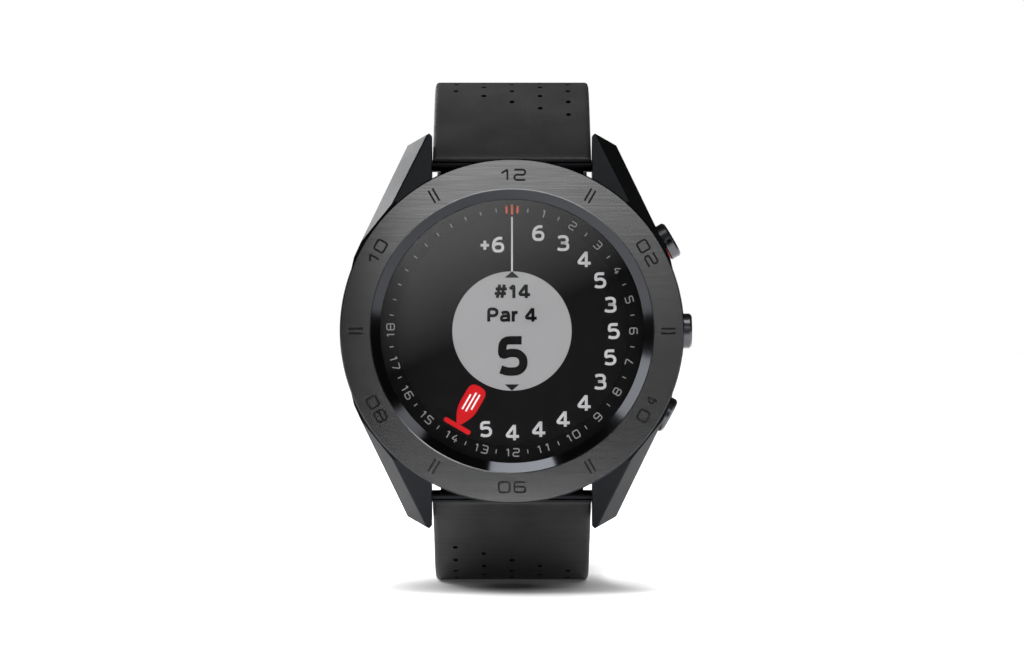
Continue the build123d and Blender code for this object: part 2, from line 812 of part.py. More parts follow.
for name, side in SIDES.items():
    side_view = strap_side(side)

    with BuildPart() as strap_bar:
        with BuildSketch(side_view):
            Circle(bar_radius)
        extrude(amount=lug_gap / 2 - bar_end_gap, both=True)
        with BuildSketch(side_view):
            Circle(bar_tip_radius)
        extrude(amount=lug_gap / 2 + bar_tip_length, both=True)
    save(strap_bar, "strap_bar_" + name)

    # The release end hooks round the bar and ends in a tray let into the strap.
    rail_from = bar_to_leather + rail_gap
    tray_side = (strap_inner + tray_top) / 2
    with BuildPart() as release_end:
        with BuildSketch(side_view):
            with BuildLine():
                hook_outside = CenterArc((0, 0), hook_radius, hook_from, hook_to - hook_from)
                hook_inside = CenterArc((0, 0), hook_inner_radius, hook_from, hook_to - hook_from)
                Line(hook_outside @ 0, hook_inside @ 0)
                Line(hook_outside @ 1, hook_inside @ 1)
            make_face()
        extrude(amount=hook_width / 2, both=True)
        with BuildSketch(side_view):
            floor_from = hook_inner_radius * cos(radians(hook_to))
            with Locations(((floor_from + tray_length) / 2, strap_inner + tray_floor / 2)):
                Rectangle(tray_length - floor_from, tray_floor)
            with Locations((tray_length - tray_end_wall / 2, tray_side)):
                Rectangle(tray_end_wall, tray_top - strap_inner)
        extrude(amount=tray_width / 2, both=True)
        for rail_middle in (tray_wall / 2 - tray_width / 2, tray_width / 2 - tray_wall / 2):
            with BuildSketch(side_view.offset(rail_middle)):
                with Locations(((rail_from + tray_length) / 2, tray_side)):
                    Rectangle(tray_length - rail_from, tray_top - strap_inner)
            extrude(amount=tray_wall / 2, both=True)
        with BuildSketch(side_view):
            slot_from = latch_knob_from - latch_gap
            slot_length = latch_knob_length + latch_travel + 2 * latch_gap
            with Locations((slot_from + slot_length / 2, strap_inner + tray_floor / 2)):
                Rectangle(slot_length, 2 * tray_floor)
        extrude(amount=latch_knob_width / 2 + latch_gap, both=True, mode=Mode.SUBTRACT)
    save(release_end, "release_end_" + name)

    # The latch closes the hook's mouth, and its thumb piece stands out of the tray floor.
    latch_bottom = strap_inner + tray_floor + latch_slide_gap
    latch_top = tray_top - latch_slide_gap
    latch_end = latch_from + latch_length
    with BuildPart() as latch:
        with BuildSketch(side_view):
            with Locations(((latch_from + latch_end) / 2, (latch_bottom + latch_top) / 2)):
                Rectangle(latch_length, latch_top - latch_bottom)
        extrude(amount=tray_width / 2 - tray_wall - latch_gap, both=True)
        with BuildSketch(side_view):
            knob_low = strap_inner - latch_knob_proud
            with Locations((latch_knob_from + latch_knob_length / 2, (knob_low + latch_bottom) / 2)):
                Rectangle(latch_knob_length, latch_bottom - knob_low)
        extrude(amount=latch_knob_width / 2, both=True)
    save(latch, "latch_" + name)

    # A leaf spring bowed between the tray's end wall and the latch.
    spring_half = tray_width / 2 - tray_wall - 2 * latch_gap
    spring_far = tray_length - tray_end_wall - latch_spring_strip
    leaf_plane = Plane(side_view.origin, x_dir=X_DIRECTION * side, z_dir=side_view.y_dir)
    with BuildPart() as latch_spring:
        with BuildSketch(leaf_plane.offset((latch_bottom + latch_top) / 2)):
            with BuildLine():
                near = ThreePointArc((-spring_half, spring_far), (0, latch_end), (spring_half, spring_far))
                far = ThreePointArc(
                    (-spring_half, spring_far + latch_spring_strip),
                    (0, latch_end + latch_spring_strip),
                    (spring_half, spring_far + latch_spring_strip),
                )
                Line(near @ 0, far @ 0)
                Line(near @ 1, far @ 1)
            make_face()
        extrude(amount=latch_spring_height / 2, both=True)
    save(latch_spring, "latch_spring_" + name)

# ==== strap halves ====


def cut_latch_pocket(side_view, low, high):
    """Room for the tray between the leather and the lining."""
    with BuildSketch(side_view) as pocket:
        with Locations(((tray_length + pocket_gap) / 2, (low + high) / 2)):
            Rectangle(tray_length + pocket_gap, high - low)
    extrude(pocket.sketch, amount=tray_width / 2 + pocket_gap, both=True, mode=Mode.SUBTRACT)


def cut_tail():
    """Round the tail's tip and punch the tang holes through the piece being built."""
    tip_half_width = strap_width / 2 - (TAIL_TIP.origin.Y - taper_from) * taper_drop / taper_run
    with BuildSketch(TAIL_TIP) as tip:
        Rectangle(strap_width, tail_tip_length, align=(Align.CENTER, Align.MAX))
        with Locations((0, -tail_tip_length)):
            Ellipse(tip_half_width, tail_tip_length, mode=Mode.SUBTRACT)
    extrude(tip.sketch, amount=2 * strap_outer, both=True, mode=Mode.SUBTRACT)
    for index in range(tang_hole_count):
        from_bar = lower_path.length - tang_hole_from_tip - index * tang_hole_spacing
        with BuildSketch(across_strap(lower_path, from_bar, SIDES["lower"])) as hole:
            Circle(tang_hole_radius)
        extrude(hole.sketch, amount=2 * strap_outer, both=True, mode=Mode.SUBTRACT)


# The upper leather ends in a loop round the buckle bar, slotted for the tang.
with BuildPart() as leather_upper:
    with BuildSketch(strap_side(SIDES["upper"])):
        with BuildLine():
            strap_layer(strap_split, strap_outer, UPPER_BENDS, buckle_run)
        make_face()
    extrude(amount=strap_width / 2, both=True)
    with BuildSketch(BUCKLE_SIDE):
        Circle(leather_loop_radius)
    extrude(amount=strap_width / 2, both=True)
    with BuildSketch(BUCKLE_SIDE):
        Circle(buckle_bar_radius + leather_loop_gap)
    extrude(amount=strap_width, both=True, mode=Mode.SUBTRACT)
    cut_taper()
    with BuildSketch(BUCKLE_TOP):
        with Locations((0, -tang_slot_length)):
            Rectangle(tang_width + 2 * tang_slot_gap, 2 * tang_slot_length, align=(Align.CENTER, Align.MIN))
    extrude(amount=2 * leather_loop_radius, both=True, mode=Mode.SUBTRACT)
    cut_latch_pocket(strap_side(SIDES["upper"]), strap_inner, pocket_top)
save(leather_upper, "leather_upper")

with BuildPart() as lining_upper:
    with BuildSketch(strap_side(SIDES["upper"])):
        with BuildLine():
            strap_layer(strap_inner, strap_split, UPPER_BENDS, buckle_run - lining_stop)
        make_face()
    extrude(amount=strap_width / 2, both=True)
    cut_taper()
    with BuildSketch(BUCKLE_TOP):
        with Locations((0, -tang_slot_length)):
            Rectangle(tang_width + 2 * tang_slot_gap, tang_slot_length, align=(Align.CENTER, Align.MIN))
    extrude(amount=2 * strap_outer, both=True, mode=Mode.SUBTRACT)
    cut_latch_pocket(strap_side(SIDES["upper"]), 2 * strap_inner, pocket_top)
save(lining_upper, "lining_upper")

with BuildPart() as leather_lower:
    with BuildSketch(strap_side(SIDES["lower"])):
        with BuildLine():
            strap_layer(strap_split, strap_outer, LOWER_BENDS, 0)
        make_face()
    extrude(amount=strap_width / 2, both=True)
    cut_taper()
    cut_tail()
    cut_latch_pocket(strap_side(SIDES["lower"]), strap_inner, pocket_top)
save(leather_lower, "leather_lower")

with BuildPart() as lining_lower:
    with BuildSketch(strap_side(SIDES["lower"])):
        with BuildLine():
            strap_layer(strap_inner, strap_split, LOWER_BENDS, 0)
        make_face()
    extrude(amount=strap_width / 2, both=True)
    cut_taper()
    cut_tail()
    cut_latch_pocket(strap_side(SIDES["lower"]), 2 * strap_inner, pocket_top)
save(lining_lower, "lining_lower")

# ==== buckle and keepers ====

arm_inside = strap_buckle_width / 2 + buckle_side_gap
arm_outside = arm_inside + buckle_arm_width

with BuildPart() as buckle_bar:
    with BuildSketch(BUCKLE_SIDE):
        Circle(buckle_bar_radius)
    extrude(amount=arm_inside - buckle_pivot_gap, both=True)
    with BuildSketch(BUCKLE_SIDE):
        Circle(buckle_pivot_radius)
    extrude(amount=arm_outside - buckle_arm_width / 3, both=True)
save(buckle_bar, "buckle_bar")

# Frame: two arms from the bar to a front bar, with a rounded front.
with BuildPart() as buckle_frame:
    with BuildSketch(BUCKLE_TOP) as frame_outline:
        Rectangle(2 * arm_outside, buckle_length, align=(Align.CENTER, Align.MIN))
        fillet(frame_outline.vertices().group_by(Axis.Y)[-1], radius=buckle_corner)
        Rectangle(
            2 * arm_inside,
            buckle_length - buckle_front_bar,
            align=(Align.CENTER, Align.MIN),
            mode=Mode.SUBTRACT,
        )
    extrude(amount=buckle_thickness / 2, both=True)
    flats = buckle_frame.faces().filter_by(Axis(BUCKLE_TOP.origin, BUCKLE_TOP.z_dir))
    chamfer(flats.edges(), length=buckle_edge)
    for arm in (-1, 1):
        with BuildSketch(BUCKLE_SIDE.offset(arm * (arm_inside + buckle_arm_width / 2))):
            Circle(buckle_eye_radius)
        extrude(amount=buckle_arm_width / 2, both=True)
    with BuildSketch(BUCKLE_SIDE):
        Circle(buckle_pivot_radius + buckle_pivot_gap)
    extrude(amount=arm_outside - buckle_arm_width / 3 + buckle_pivot_gap, both=True, mode=Mode.SUBTRACT)
save(buckle_frame, "buckle_frame")

# Tang: an eye on the bar and an arm that rests over the front bar.
frame_top = buckle_thickness / 2 + tang_lift
frame_inner_edge = buckle_length - buckle_front_bar
with BuildPart() as tang:
    with BuildSketch(BUCKLE_SIDE):
        Circle(tang_ring_radius)
        with BuildLine():
            Polyline(
                (tang_ring_radius / 2, 0),
                (frame_inner_edge - tang_bend, frame_top),
                (tang_reach, frame_top),
                (tang_reach, frame_top + tang_tip_height),
                (tang_reach - tang_tip_slope, frame_top + tang_thickness),
                (frame_inner_edge - tang_bend, frame_top + tang_thickness),
                (0, tang_ring_radius),
                close=True,
            )
        make_face()
        Circle(buckle_bar_radius + leather_loop_gap, mode=Mode.SUBTRACT)
    extrude(amount=tang_width / 2, both=True)
save(tang, "tang")


def build_keeper(from_bar, slack):
    """A leather loop round the strap, with room above it for the other half."""
    half_width = strap_buckle_width / 2 + from_bar * taper_drop / taper_run + keeper_gap
    low = strap_inner - slack
    high = strap_outer + keeper_room
    start = BUCKLE_TOP.origin - BUCKLE_TOP.y_dir * from_bar
    with BuildSketch(Plane(origin=start, x_dir=X_DIRECTION, z_dir=-BUCKLE_TOP.y_dir)) as loop:
        with Locations((0, -(low + high) / 2)):
            RectangleRounded(2 * (half_width + keeper_wall), high - low + 2 * keeper_wall, keeper_corner)
            RectangleRounded(2 * half_width, high - low, keeper_inner_corner, mode=Mode.SUBTRACT)
    extrude(loop.sketch, amount=-keeper_length)


with BuildPart() as keeper_fixed:
    build_keeper(keeper_fixed_from, 0)
save(keeper_fixed, "keeper_fixed")

with BuildPart() as keeper_free:
    build_keeper(keeper_free_from, keeper_gap)
save(keeper_free, "keeper_free")
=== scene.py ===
"""Looks of a golf watch: bezel, dial, buttons, punched leather strap and studio.

It is run as a script in Blender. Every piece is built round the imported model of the
watch, in metres: +Z points to 12 o'clock, +X to the buttons, and the dial faces -Y.
"""

import json
from math import cos, pi, radians, sin, sqrt

import bmesh
import bpy
from mathutils import Matrix, Vector


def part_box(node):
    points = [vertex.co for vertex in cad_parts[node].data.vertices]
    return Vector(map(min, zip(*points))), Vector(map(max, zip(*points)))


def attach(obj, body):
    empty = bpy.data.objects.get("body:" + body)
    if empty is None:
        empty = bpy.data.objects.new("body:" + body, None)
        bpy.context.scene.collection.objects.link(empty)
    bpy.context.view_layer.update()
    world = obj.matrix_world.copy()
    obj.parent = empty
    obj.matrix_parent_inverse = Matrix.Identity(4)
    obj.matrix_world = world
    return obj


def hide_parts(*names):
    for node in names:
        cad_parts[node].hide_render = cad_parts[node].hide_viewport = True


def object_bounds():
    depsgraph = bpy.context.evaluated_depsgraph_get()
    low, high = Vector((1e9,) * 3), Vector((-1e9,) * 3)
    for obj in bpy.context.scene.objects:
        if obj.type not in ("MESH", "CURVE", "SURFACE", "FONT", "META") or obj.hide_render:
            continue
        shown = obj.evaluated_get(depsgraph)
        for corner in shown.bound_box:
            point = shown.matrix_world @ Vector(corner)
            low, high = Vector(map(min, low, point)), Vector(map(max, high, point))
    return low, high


bl_info = {
    "name": "Golf watch looks", "version": (1, 0, 0), "blender": (4, 5, 0),
    "location": "3D View > Sidebar > Golf watch",
    "description": "Finishes, printed figures, strap leather and a studio round the packed watch",
    "category": "Object",
}

MM = 0.001
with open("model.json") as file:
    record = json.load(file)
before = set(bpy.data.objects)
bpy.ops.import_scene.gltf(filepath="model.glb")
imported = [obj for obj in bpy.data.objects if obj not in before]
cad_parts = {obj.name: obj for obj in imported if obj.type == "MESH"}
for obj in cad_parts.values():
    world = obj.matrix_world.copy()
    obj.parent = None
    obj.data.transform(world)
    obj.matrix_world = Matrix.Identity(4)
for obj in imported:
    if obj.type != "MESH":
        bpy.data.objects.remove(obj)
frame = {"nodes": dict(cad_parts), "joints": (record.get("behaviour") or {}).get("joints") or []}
CAD_BOX = [list(corner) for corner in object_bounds()]
NODES = frame["nodes"]
JOINTS = {joint["name"]: joint for joint in frame["joints"]}
BAR = Vector(JOINTS["strap_upper_hinge"]["pos_m"])
BUCKLE = Vector(JOINTS["buckle_hinge"]["pos_m"])

DISPLAY_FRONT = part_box("display_module")[0].y
RING_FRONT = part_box("number_ring")[0].y
INK_DEPTH = 0.02 * MM

# ---- strap: its middle line as runs of (length, radius), and its section ----
LEAN = radians(54)
FIRST_RUN = 12.5 * MM
SHOULDER_RADIUS = 17 * MM
BUCKLE_SIDE_RADIUS = 45 * MM
TAIL_RADIUS = 80 * MM
SHOULDER_RUN = SHOULDER_RADIUS * (pi / 2 - LEAN)
BUCKLE_SIDE_RUN = BUCKLE_SIDE_RADIUS * radians(45)
RUNS = {
    "upper": (
        (FIRST_RUN, 0), (SHOULDER_RUN, SHOULDER_RADIUS), (BUCKLE_SIDE_RUN, BUCKLE_SIDE_RADIUS),
        (18 * MM, 0),
    ),
    "lower": ((FIRST_RUN, 0), (SHOULDER_RUN, SHOULDER_RADIUS), (92 * MM, TAIL_RADIUS)),
}
SIDES = {"upper": 1, "lower": -1}
STRAP_WIDTH = 19.8 * MM
STRAP_BUCKLE_WIDTH = 17.6 * MM
TAPER_FROM = 17 * MM
LEATHER_TOP = 1.3 * MM
LAYER_SPLIT = -0.1 * MM
LINING_BACK = -1.3 * MM
SPLIT_GAP = 0.02 * MM
BAR_TO_LEATHER = 0.85 * MM
POCKET_HALF_WIDTH = 8.2 * MM
POCKET_LENGTH = 6.75 * MM
POCKET_TOP = 0.56 * MM
TAIL_TIP = 6.5 * MM
TANG_HOLES = 7
TANG_HOLE_RADIUS = 0.95 * MM
TANG_HOLE_SPACING = 6.5 * MM
TANG_HOLE_FROM_TIP = 20 * MM
SLOT_LENGTH = 4 * MM
SLOT_WIDTH = 3.6 * MM
TANG_SQUARE = 1.5 * MM
FACE_FADE = 4 * MM
LINING_STOP = 2.2 * MM
LOOP_RADIUS = 1.6 * MM
LOOP_BORE = 0.78 * MM
LOOP_INNER = 1.62 * MM
LOOP_STEPS = 48
KEEPER_LENGTH = 4.2 * MM
KEEPER_WALL = 1.2 * MM
KEEPER_ROOM = 2.8 * MM
KEEPER_GAP = 0.2 * MM
KEEPER_CORNER = 1.3 * MM
KEEPER_EDGE = 0.35 * MM
KEEPERS = {"keeper_fixed": (9.0 * MM, 0.0), "keeper_free": (17.2 * MM, KEEPER_GAP)}

# ---- figures: strokes in a box one unit high, each a line and whether it closes ----
SQUARE = 0.4
FIGURE_STROKES = {
    "0": [([(-SQUARE, -0.5), (SQUARE, -0.5), (SQUARE, 0.5), (-SQUARE, 0.5)], True)],
    "1": [([(-0.15, 0.28), (0.1, 0.5), (0.1, -0.5)], False)],
    "2": [
        (
            [(-SQUARE, 0.5), (SQUARE, 0.5), (SQUARE, 0), (-SQUARE, 0), (-SQUARE, -0.5), (SQUARE, -0.5)],
            False,
        )
    ],
    "3": [
        ([(-SQUARE, 0.5), (SQUARE, 0.5), (SQUARE, -0.5), (-SQUARE, -0.5)], False),
        ([(-0.2, 0), (SQUARE, 0)], False),
    ],
    "4": [
        ([(0.05, 0.5), (-SQUARE, -0.2), (SQUARE, -0.2)], False), ([(0.18, 0.1), (0.18, -0.5)], False)
    ],
    "5": [
        (
            [
                (SQUARE, 0.5), (-SQUARE, 0.5), (-SQUARE, 0.05), (SQUARE, 0.05), (SQUARE, -0.5),
                (-SQUARE, -0.5),
            ],
            False,
        )
    ],
    "6": [
        (
            [
                (SQUARE, 0.5), (-SQUARE, 0.5), (-SQUARE, -0.5), (SQUARE, -0.5), (SQUARE, 0.05),
                (-SQUARE, 0.05),
            ],
            False,
        )
    ],
    "7": [([(-SQUARE, 0.5), (SQUARE, 0.5), (0, -0.5)], False)],
    "8": [
        ([(-SQUARE, -0.5), (SQUARE, -0.5), (SQUARE, 0.5), (-SQUARE, 0.5)], True),
        ([(-SQUARE, 0), (SQUARE, 0)], False),
    ],
    "9": [
        (
            [
                (-SQUARE, -0.5), (SQUARE, -0.5), (SQUARE, 0.5), (-SQUARE, 0.5), (-SQUARE, -0.05),
                (SQUARE, -0.05),
            ],
            False,
        )
    ],
}

# ---- display letters: a width, then strokes in a box one unit wide and high ----
LETTER_SPACE = 0.1
LETTER_STRETCH = 1.17
SCORE_WEIGHT = 0.18
BOLD_WEIGHT = 0.215
LETTERS = {
    " ": (0.16, []), "+": (0.6, [[(0, 0.45), (1, 0.45)], [(0.5, 0.1), (0.5, 0.8)]]),
    "#": (
        0.82,
        [
            [(0.18, -0.08), (0.4, 1.08)], [(0.6, -0.08), (0.82, 1.08)], [(0.02, 0.7), (1.06, 0.7)],
            [(-0.06, 0.3), (0.98, 0.3)],
        ],
    ),
    "P": (0.66, [[(0, -0.1), (0, 1), (0.7, 1), (1, 0.86), (1, 0.56), (0.7, 0.42), (0, 0.42)]]),
    "a": (
        0.6,
        [
            [(0.04, 0.62), (0.3, 0.72), (0.85, 0.72), (1, 0.5), (1, -0.1)],
            [(1, 0.4), (0.3, 0.4), (0, 0.3), (0, 0.06), (0.3, 0), (1, 0.08)],
        ],
    ),
    "r": (0.42, [[(0, -0.1), (0, 0.82)], [(0, 0.4), (0.3, 0.7), (1.1, 0.7)]]),
    "1": (0.42, [[(-0.2, 0.68), (0.75, 1.04), (0.75, -0.1)]]),
    "3": (
        0.64,
        [
            [(0, 0.92), (0.3, 1), (0.8, 1), (1, 0.84), (1, 0.66), (0.8, 0.52), (0.3, 0.52)],
            [(0.3, 0.52), (0.8, 0.52), (1.06, 0.4), (1.06, 0.12), (0.8, 0), (0.2, 0), (-0.06, 0.08)],
        ],
    ),
    "4": (0.72, [[(1.16, 0.2), (-0.08, 0.2), (0.72, 1.04)], [(0.74, 1.08), (0.74, -0.1)]]),
    "5": (
        0.64,
        [
            [
                (0.96, 1), (0.06, 1), (0.02, 0.5), (0.4, 0.6), (0.8, 0.58), (1.04, 0.42), (1.04, 0.16),
                (0.8, 0), (0.3, -0.02), (-0.04, 0.06),
            ]
        ],
    ),
    "6": (
        0.66,
        [
            [
                (0.94, 0.98), (0.5, 1), (0.12, 0.8), (0, 0.5), (0, 0.2), (0.2, 0), (0.8, 0), (1, 0.16),
                (1, 0.42), (0.8, 0.56), (0.3, 0.56), (0.02, 0.4),
            ]
        ],
    ),
}
RING_STROKE = 0.13 * MM
TICK_REACH = 0.25 * MM
TICK_WIDTH = 0.11 * MM
TICKS_ALONE = (277.5, 352.5)
INDEX_SPREAD = 2.6
INDEX_REACH = 0.45 * MM
INDEX_LONG_REACH = 0.62 * MM
INDEX_WIDTH = 0.26 * MM
TOTAL_AT = (-2.5 * MM, 10.65 * MM)
HAND_END = 14.05 * MM
HAND_WIDTH = 0.22 * MM
WORD_HEIGHT = 1.8 * MM
HOLE_WORD_AT = (0, 4.9 * MM)
PAR_WORD_AT = (0, 2.0 * MM)
BIG_FIGURE_HEIGHT = 4.85 * MM
BIG_FIGURE_AT = (0, -3.05 * MM)
POINTER_HEIGHT = 0.78 * MM
POINTER_HALF_WIDTH = 0.9 * MM
MARKER_LINE_WIDTH = 0.2 * MM
HOLES_ON_COURSE = 18
HOLE_STEP = 15.0
SCORES = (6, 3, 4, 5, 3, 5, 5, 3, 4, 4, 4, 4, 5)


# ---- sockets of the colour Mix node, whose names repeat ----
FACTOR = 0
COLOUR_A = 6
COLOUR_B = 7
MIXED = 2

# ---- what a noise nearly always lies between ----
NOISE_SPAN = {"From Min": 0.3, "From Max": 0.7}


# ---- studio ----
FLOOR_CORNERS = ((-4, -0.1), (4, -0.1), (4, 4), (-4, 4))
CARD_CORNERS = ((-0.12, -0.1), (0.12, -0.1), (0.12, 0.08), (-0.12, 0.08))
CARD_BEHIND_CAMERA = 0.04
BOX_DISTANCE = 0.45
# Middle and spread of the shadow painted on the floor under the watch.
PAINTED_SHADOW_MIDDLE = (0.0, -0.2, 0.0)
PAINTED_SHADOW_SPREAD = (1 / 0.023, 1 / 0.025, 0.0)
PAPER_GLOW = 0.1


def linear(code):
    """Linear colour of an sRGB hex code."""
    channels = [int(code[start : start + 2], 16) / 255 for start in (1, 3, 5)]
    return tuple(
        part / 12.92 if part <= 0.04045 else ((part + 0.055) / 1.055) ** 2.4 for part in channels
    )


def opaque(colour):
    """The four numbers of a shader's colour from three."""
    return (*colour, 1.0)


def per_metre(size):
    """Pattern scale that repeats about once in a size in millimetres."""
    return 1 / (size * MM)


# ==== settings ====


class DialSettings(bpy.types.PropertyGroup):
    """Sizes and colours of what the dial shows."""

    disc: bpy.props.FloatVectorProperty(
        name="Disc", description="Colour of the disc in the middle of the display",
        default=linear("#979798"), subtype="COLOR",
    )
    disc_radius: bpy.props.FloatProperty(
        name="Disc radius", description="Radius of the pale disc in the middle of the display",
        default=7.35 * MM, unit="LENGTH",
    )
    score_radius: bpy.props.FloatProperty(
        name="Score circle", description="Radius of the circle that the scores stand on",
        default=12.5 * MM, unit="LENGTH",
    )
    score_height: bpy.props.FloatProperty(
        name="Score height", description="Height of one score", default=1.95 * MM, unit="LENGTH"
    )
    ring_figure_radius: bpy.props.FloatProperty(
        name="Ring figure circle", description="Radius of the circle that the hole numbers stand on",
        default=14.95 * MM, unit="LENGTH",
    )
    ring_figure_height: bpy.props.FloatProperty(
        name="Ring figure height", description="Height of one figure printed on the number ring",
        default=0.92 * MM, unit="LENGTH",
    )
    pale: bpy.props.FloatVectorProperty(
        name="Pale", description="Colour of the display's pale cells", default=linear("#B9B9BA"),
        subtype="COLOR",
    )
    red: bpy.props.FloatVectorProperty(
        name="Red", description="Colour of the display's red cells", default=linear("#C4141A"),
        subtype="COLOR",
    )
    ink: bpy.props.FloatVectorProperty(
        name="Ink", description="Colour of the figures printed on the number ring",
        default=linear("#8E8E90"), subtype="COLOR",
    )
    orange: bpy.props.FloatVectorProperty(
        name="Orange", description="Colour of the index printed at 12 o'clock",
        default=linear("#D9531E"), subtype="COLOR",
    )


class MetalSettings(bpy.types.PropertyGroup):
    """Colours of the metal pieces."""

    case: bpy.props.FloatVectorProperty(
        name="Case", description="Colour that the coated case mirrors", default=linear("#202123"),
        subtype="COLOR",
    )
    bezel: bpy.props.FloatVectorProperty(
        name="Bezel", description="Colour that the brushed face of the bezel mirrors",
        default=linear("#9A9A9B"), subtype="COLOR",
    )
    bezel_polish: bpy.props.FloatVectorProperty(
        name="Bezel edges", description="Colour that the polished edges of the bezel mirror",
        default=linear("#323336"), subtype="COLOR",
    )
    button: bpy.props.FloatVectorProperty(
        name="Buttons", description="Colour that the coated buttons mirror", default=linear("#525356"),
        subtype="COLOR",
    )
    collar: bpy.props.FloatVectorProperty(
        name="Collar", description="Colour of the dyed collar under the top button",
        default=linear("#F0501A"), subtype="COLOR",
    )


class StrapSettings(bpy.types.PropertyGroup):
    """Sizes and colours of the leather strap."""

    hole_radius: bpy.props.FloatProperty(
        name="Hole radius", description="Radius of one decorative hole", default=0.33 * MM,
        unit="LENGTH",
    )
    hole_pitch: bpy.props.FloatProperty(
        name="Hole pitch", description="Distance between the holes of one column", default=3.0 * MM,
        unit="LENGTH",
    )
    column_pitch: bpy.props.FloatProperty(
        name="Column pitch", description="Distance between two columns of holes", default=3.6 * MM,
        unit="LENGTH",
    )
    first_hole: bpy.props.FloatProperty(
        name="First hole", description="Distance from the bar to the first decorative hole",
        default=10.0 * MM, unit="LENGTH",
    )
    last_hole: bpy.props.FloatProperty(
        name="Last hole",
        description="Distance from the bar beyond which no decorative hole is punched",
        default=48.0 * MM, unit="LENGTH",
    )
    edge_radius: bpy.props.FloatProperty(
        name="Edge radius", description="Radius of the leather's rounded edges", default=0.45 * MM,
        unit="LENGTH",
    )
    leather: bpy.props.FloatVectorProperty(
        name="Leather", description="Colour of the strap's leather", default=linear("#434344"),
        subtype="COLOR",
    )
    lining: bpy.props.FloatVectorProperty(
        name="Lining", description="Colour of the strap's lining", default=linear("#232325"),
        subtype="COLOR",
    )


class StudioSettings(bpy.types.PropertyGroup):
    """Camera and light of the studio."""

    distance: bpy.props.FloatProperty(
        name="Camera distance", description="Distance from the case back's middle to the camera",
        default=0.42, unit="LENGTH",
    )
    lens: bpy.props.FloatProperty(
        name="Lens", description="Focal length of the camera in millimetres", default=117.35
    )
    card_glow: bpy.props.FloatProperty(
        name="Card glow", description="Brightness of the graded card behind the camera", default=1.5
    )
    top_glow: bpy.props.FloatProperty(
        name="Top glow", description="Brightness of the soft box overhead", default=9.0
    )
    side_glow: bpy.props.FloatProperty(
        name="Side glow", description="Brightness of the soft boxes at the sides", default=6.0
    )
    back_glow: bpy.props.FloatProperty(
        name="Back glow", description="Brightness of the soft box behind the watch at the upper left",
        default=9.0,
    )
    strip_glow: bpy.props.FloatProperty(
        name="Strip glow", description="Brightness of the narrow box above the camera", default=3.0
    )
    ceiling: bpy.props.FloatProperty(
        name="Ceiling light",
        description="Strength of the wide light straight above that whitens the floor", default=3.5,
    )


# ==== nodes ====


def add_node(tree, kind, settings=None, links=None):
    """Add a node, give it its settings and link its inputs."""
    node = tree.nodes.new(kind)
    for name, value in (settings or {}).items():
        if isinstance(name, str) and name in node.bl_rna.properties:
            setattr(node, name, value)
        else:
            node.inputs[name].default_value = value
    for name, source in (links or {}).items():
        tree.links.new(source, node.inputs[name])
    return node


def surface(name, settings, pattern):
    """A material whose Principled shader has these settings and the links that the pattern gives."""
    material = bpy.data.materials.new(name)
    material.use_nodes = True
    tree = material.node_tree
    tree.nodes.clear()
    shader = add_node(tree, "ShaderNodeBsdfPrincipled", settings, pattern(tree))
    add_node(tree, "ShaderNodeOutputMaterial", links={"Surface": shader.outputs["BSDF"]})
    return material


def even(tree):
    """No pattern: a surface polished until nothing shows on it."""
    return {}


def graded_paper(tree):
    """Pattern of the floor: white paper with a painted shadow, darker in an ellipse under the watch."""
    place = add_node(tree, "ShaderNodeTexCoord").outputs["Object"]
    shape = add_node(
        tree, "ShaderNodeMapping",
        {"vector_type": "POINT", "Location": PAINTED_SHADOW_MIDDLE, "Scale": PAINTED_SHADOW_SPREAD}, {"Vector": place},
    )
    distance = add_node(tree, "ShaderNodeVectorMath", {"operation": "LENGTH"}, {0: shape.outputs[0]})
    shade = add_node(
        tree, "ShaderNodeMapRange", {"From Min": 0.1, "From Max": 1.05, "To Min": 0.04, "To Max": 0.95},
        {"Value": distance.outputs["Value"]},
    )
    # The paper's glow is dimmed by the same painted shadow.
    glow = add_node(
        tree, "ShaderNodeMath", {"operation": "MULTIPLY", 1: PAPER_GLOW}, {0: shade.outputs[0]}
    )
    return {"Base Color": shade.outputs[0], "Emission Strength": glow.outputs[0]}


def pitted(spacing, depth, smooth, rough):
    """Pattern of fine pits, as blasting, printing or a mould's texture leaves them."""

    def pattern(tree):
        place = add_node(tree, "ShaderNodeTexCoord").outputs["Object"]
        pits = add_node(
            tree, "ShaderNodeTexNoise", {"Scale": per_metre(spacing), "Detail": 3.0}, {"Vector": place}
        )
        handled = add_node(
            tree, "ShaderNodeTexNoise", {"Scale": per_metre(9.0), "Detail": 2.0}, {"Vector": place}
        )
        roughness = add_node(
            tree, "ShaderNodeMapRange", {**NOISE_SPAN, "To Min": smooth, "To Max": rough},
            {"Value": handled.outputs[0]},
        )
        bump = add_node(
            tree, "ShaderNodeBump", {"Distance": depth * MM, "Strength": 1.0},
            {"Height": pits.outputs[0]},
        )
        return {"Roughness": roughness.outputs[0], "Normal": bump.outputs[0]}

    return pattern


def scratched(stretch, depth, smooth, rough):
    """Pattern of fine straight lines, each drawn out by its stretch in millimetres."""

    def pattern(tree):
        place = add_node(tree, "ShaderNodeTexCoord").outputs["Object"]
        drawn = add_node(
            tree, "ShaderNodeMapping", {"Scale": [per_metre(size) for size in stretch]},
            {"Vector": place},
        )
        lines = add_node(
            tree, "ShaderNodeTexNoise", {"Scale": 1.0, "Detail": 4.0}, {"Vector": drawn.outputs[0]}
        )
        roughness = add_node(
            tree, "ShaderNodeMapRange", {**NOISE_SPAN, "To Min": smooth, "To Max": rough},
            {"Value": lines.outputs[0]},
        )
        bump = add_node(
            tree, "ShaderNodeBump", {"Distance": depth * MM, "Strength": 1.0},
            {"Height": lines.outputs[0]},
        )
        return {"Roughness": roughness.outputs[0], "Normal": bump.outputs[0]}

    return pattern


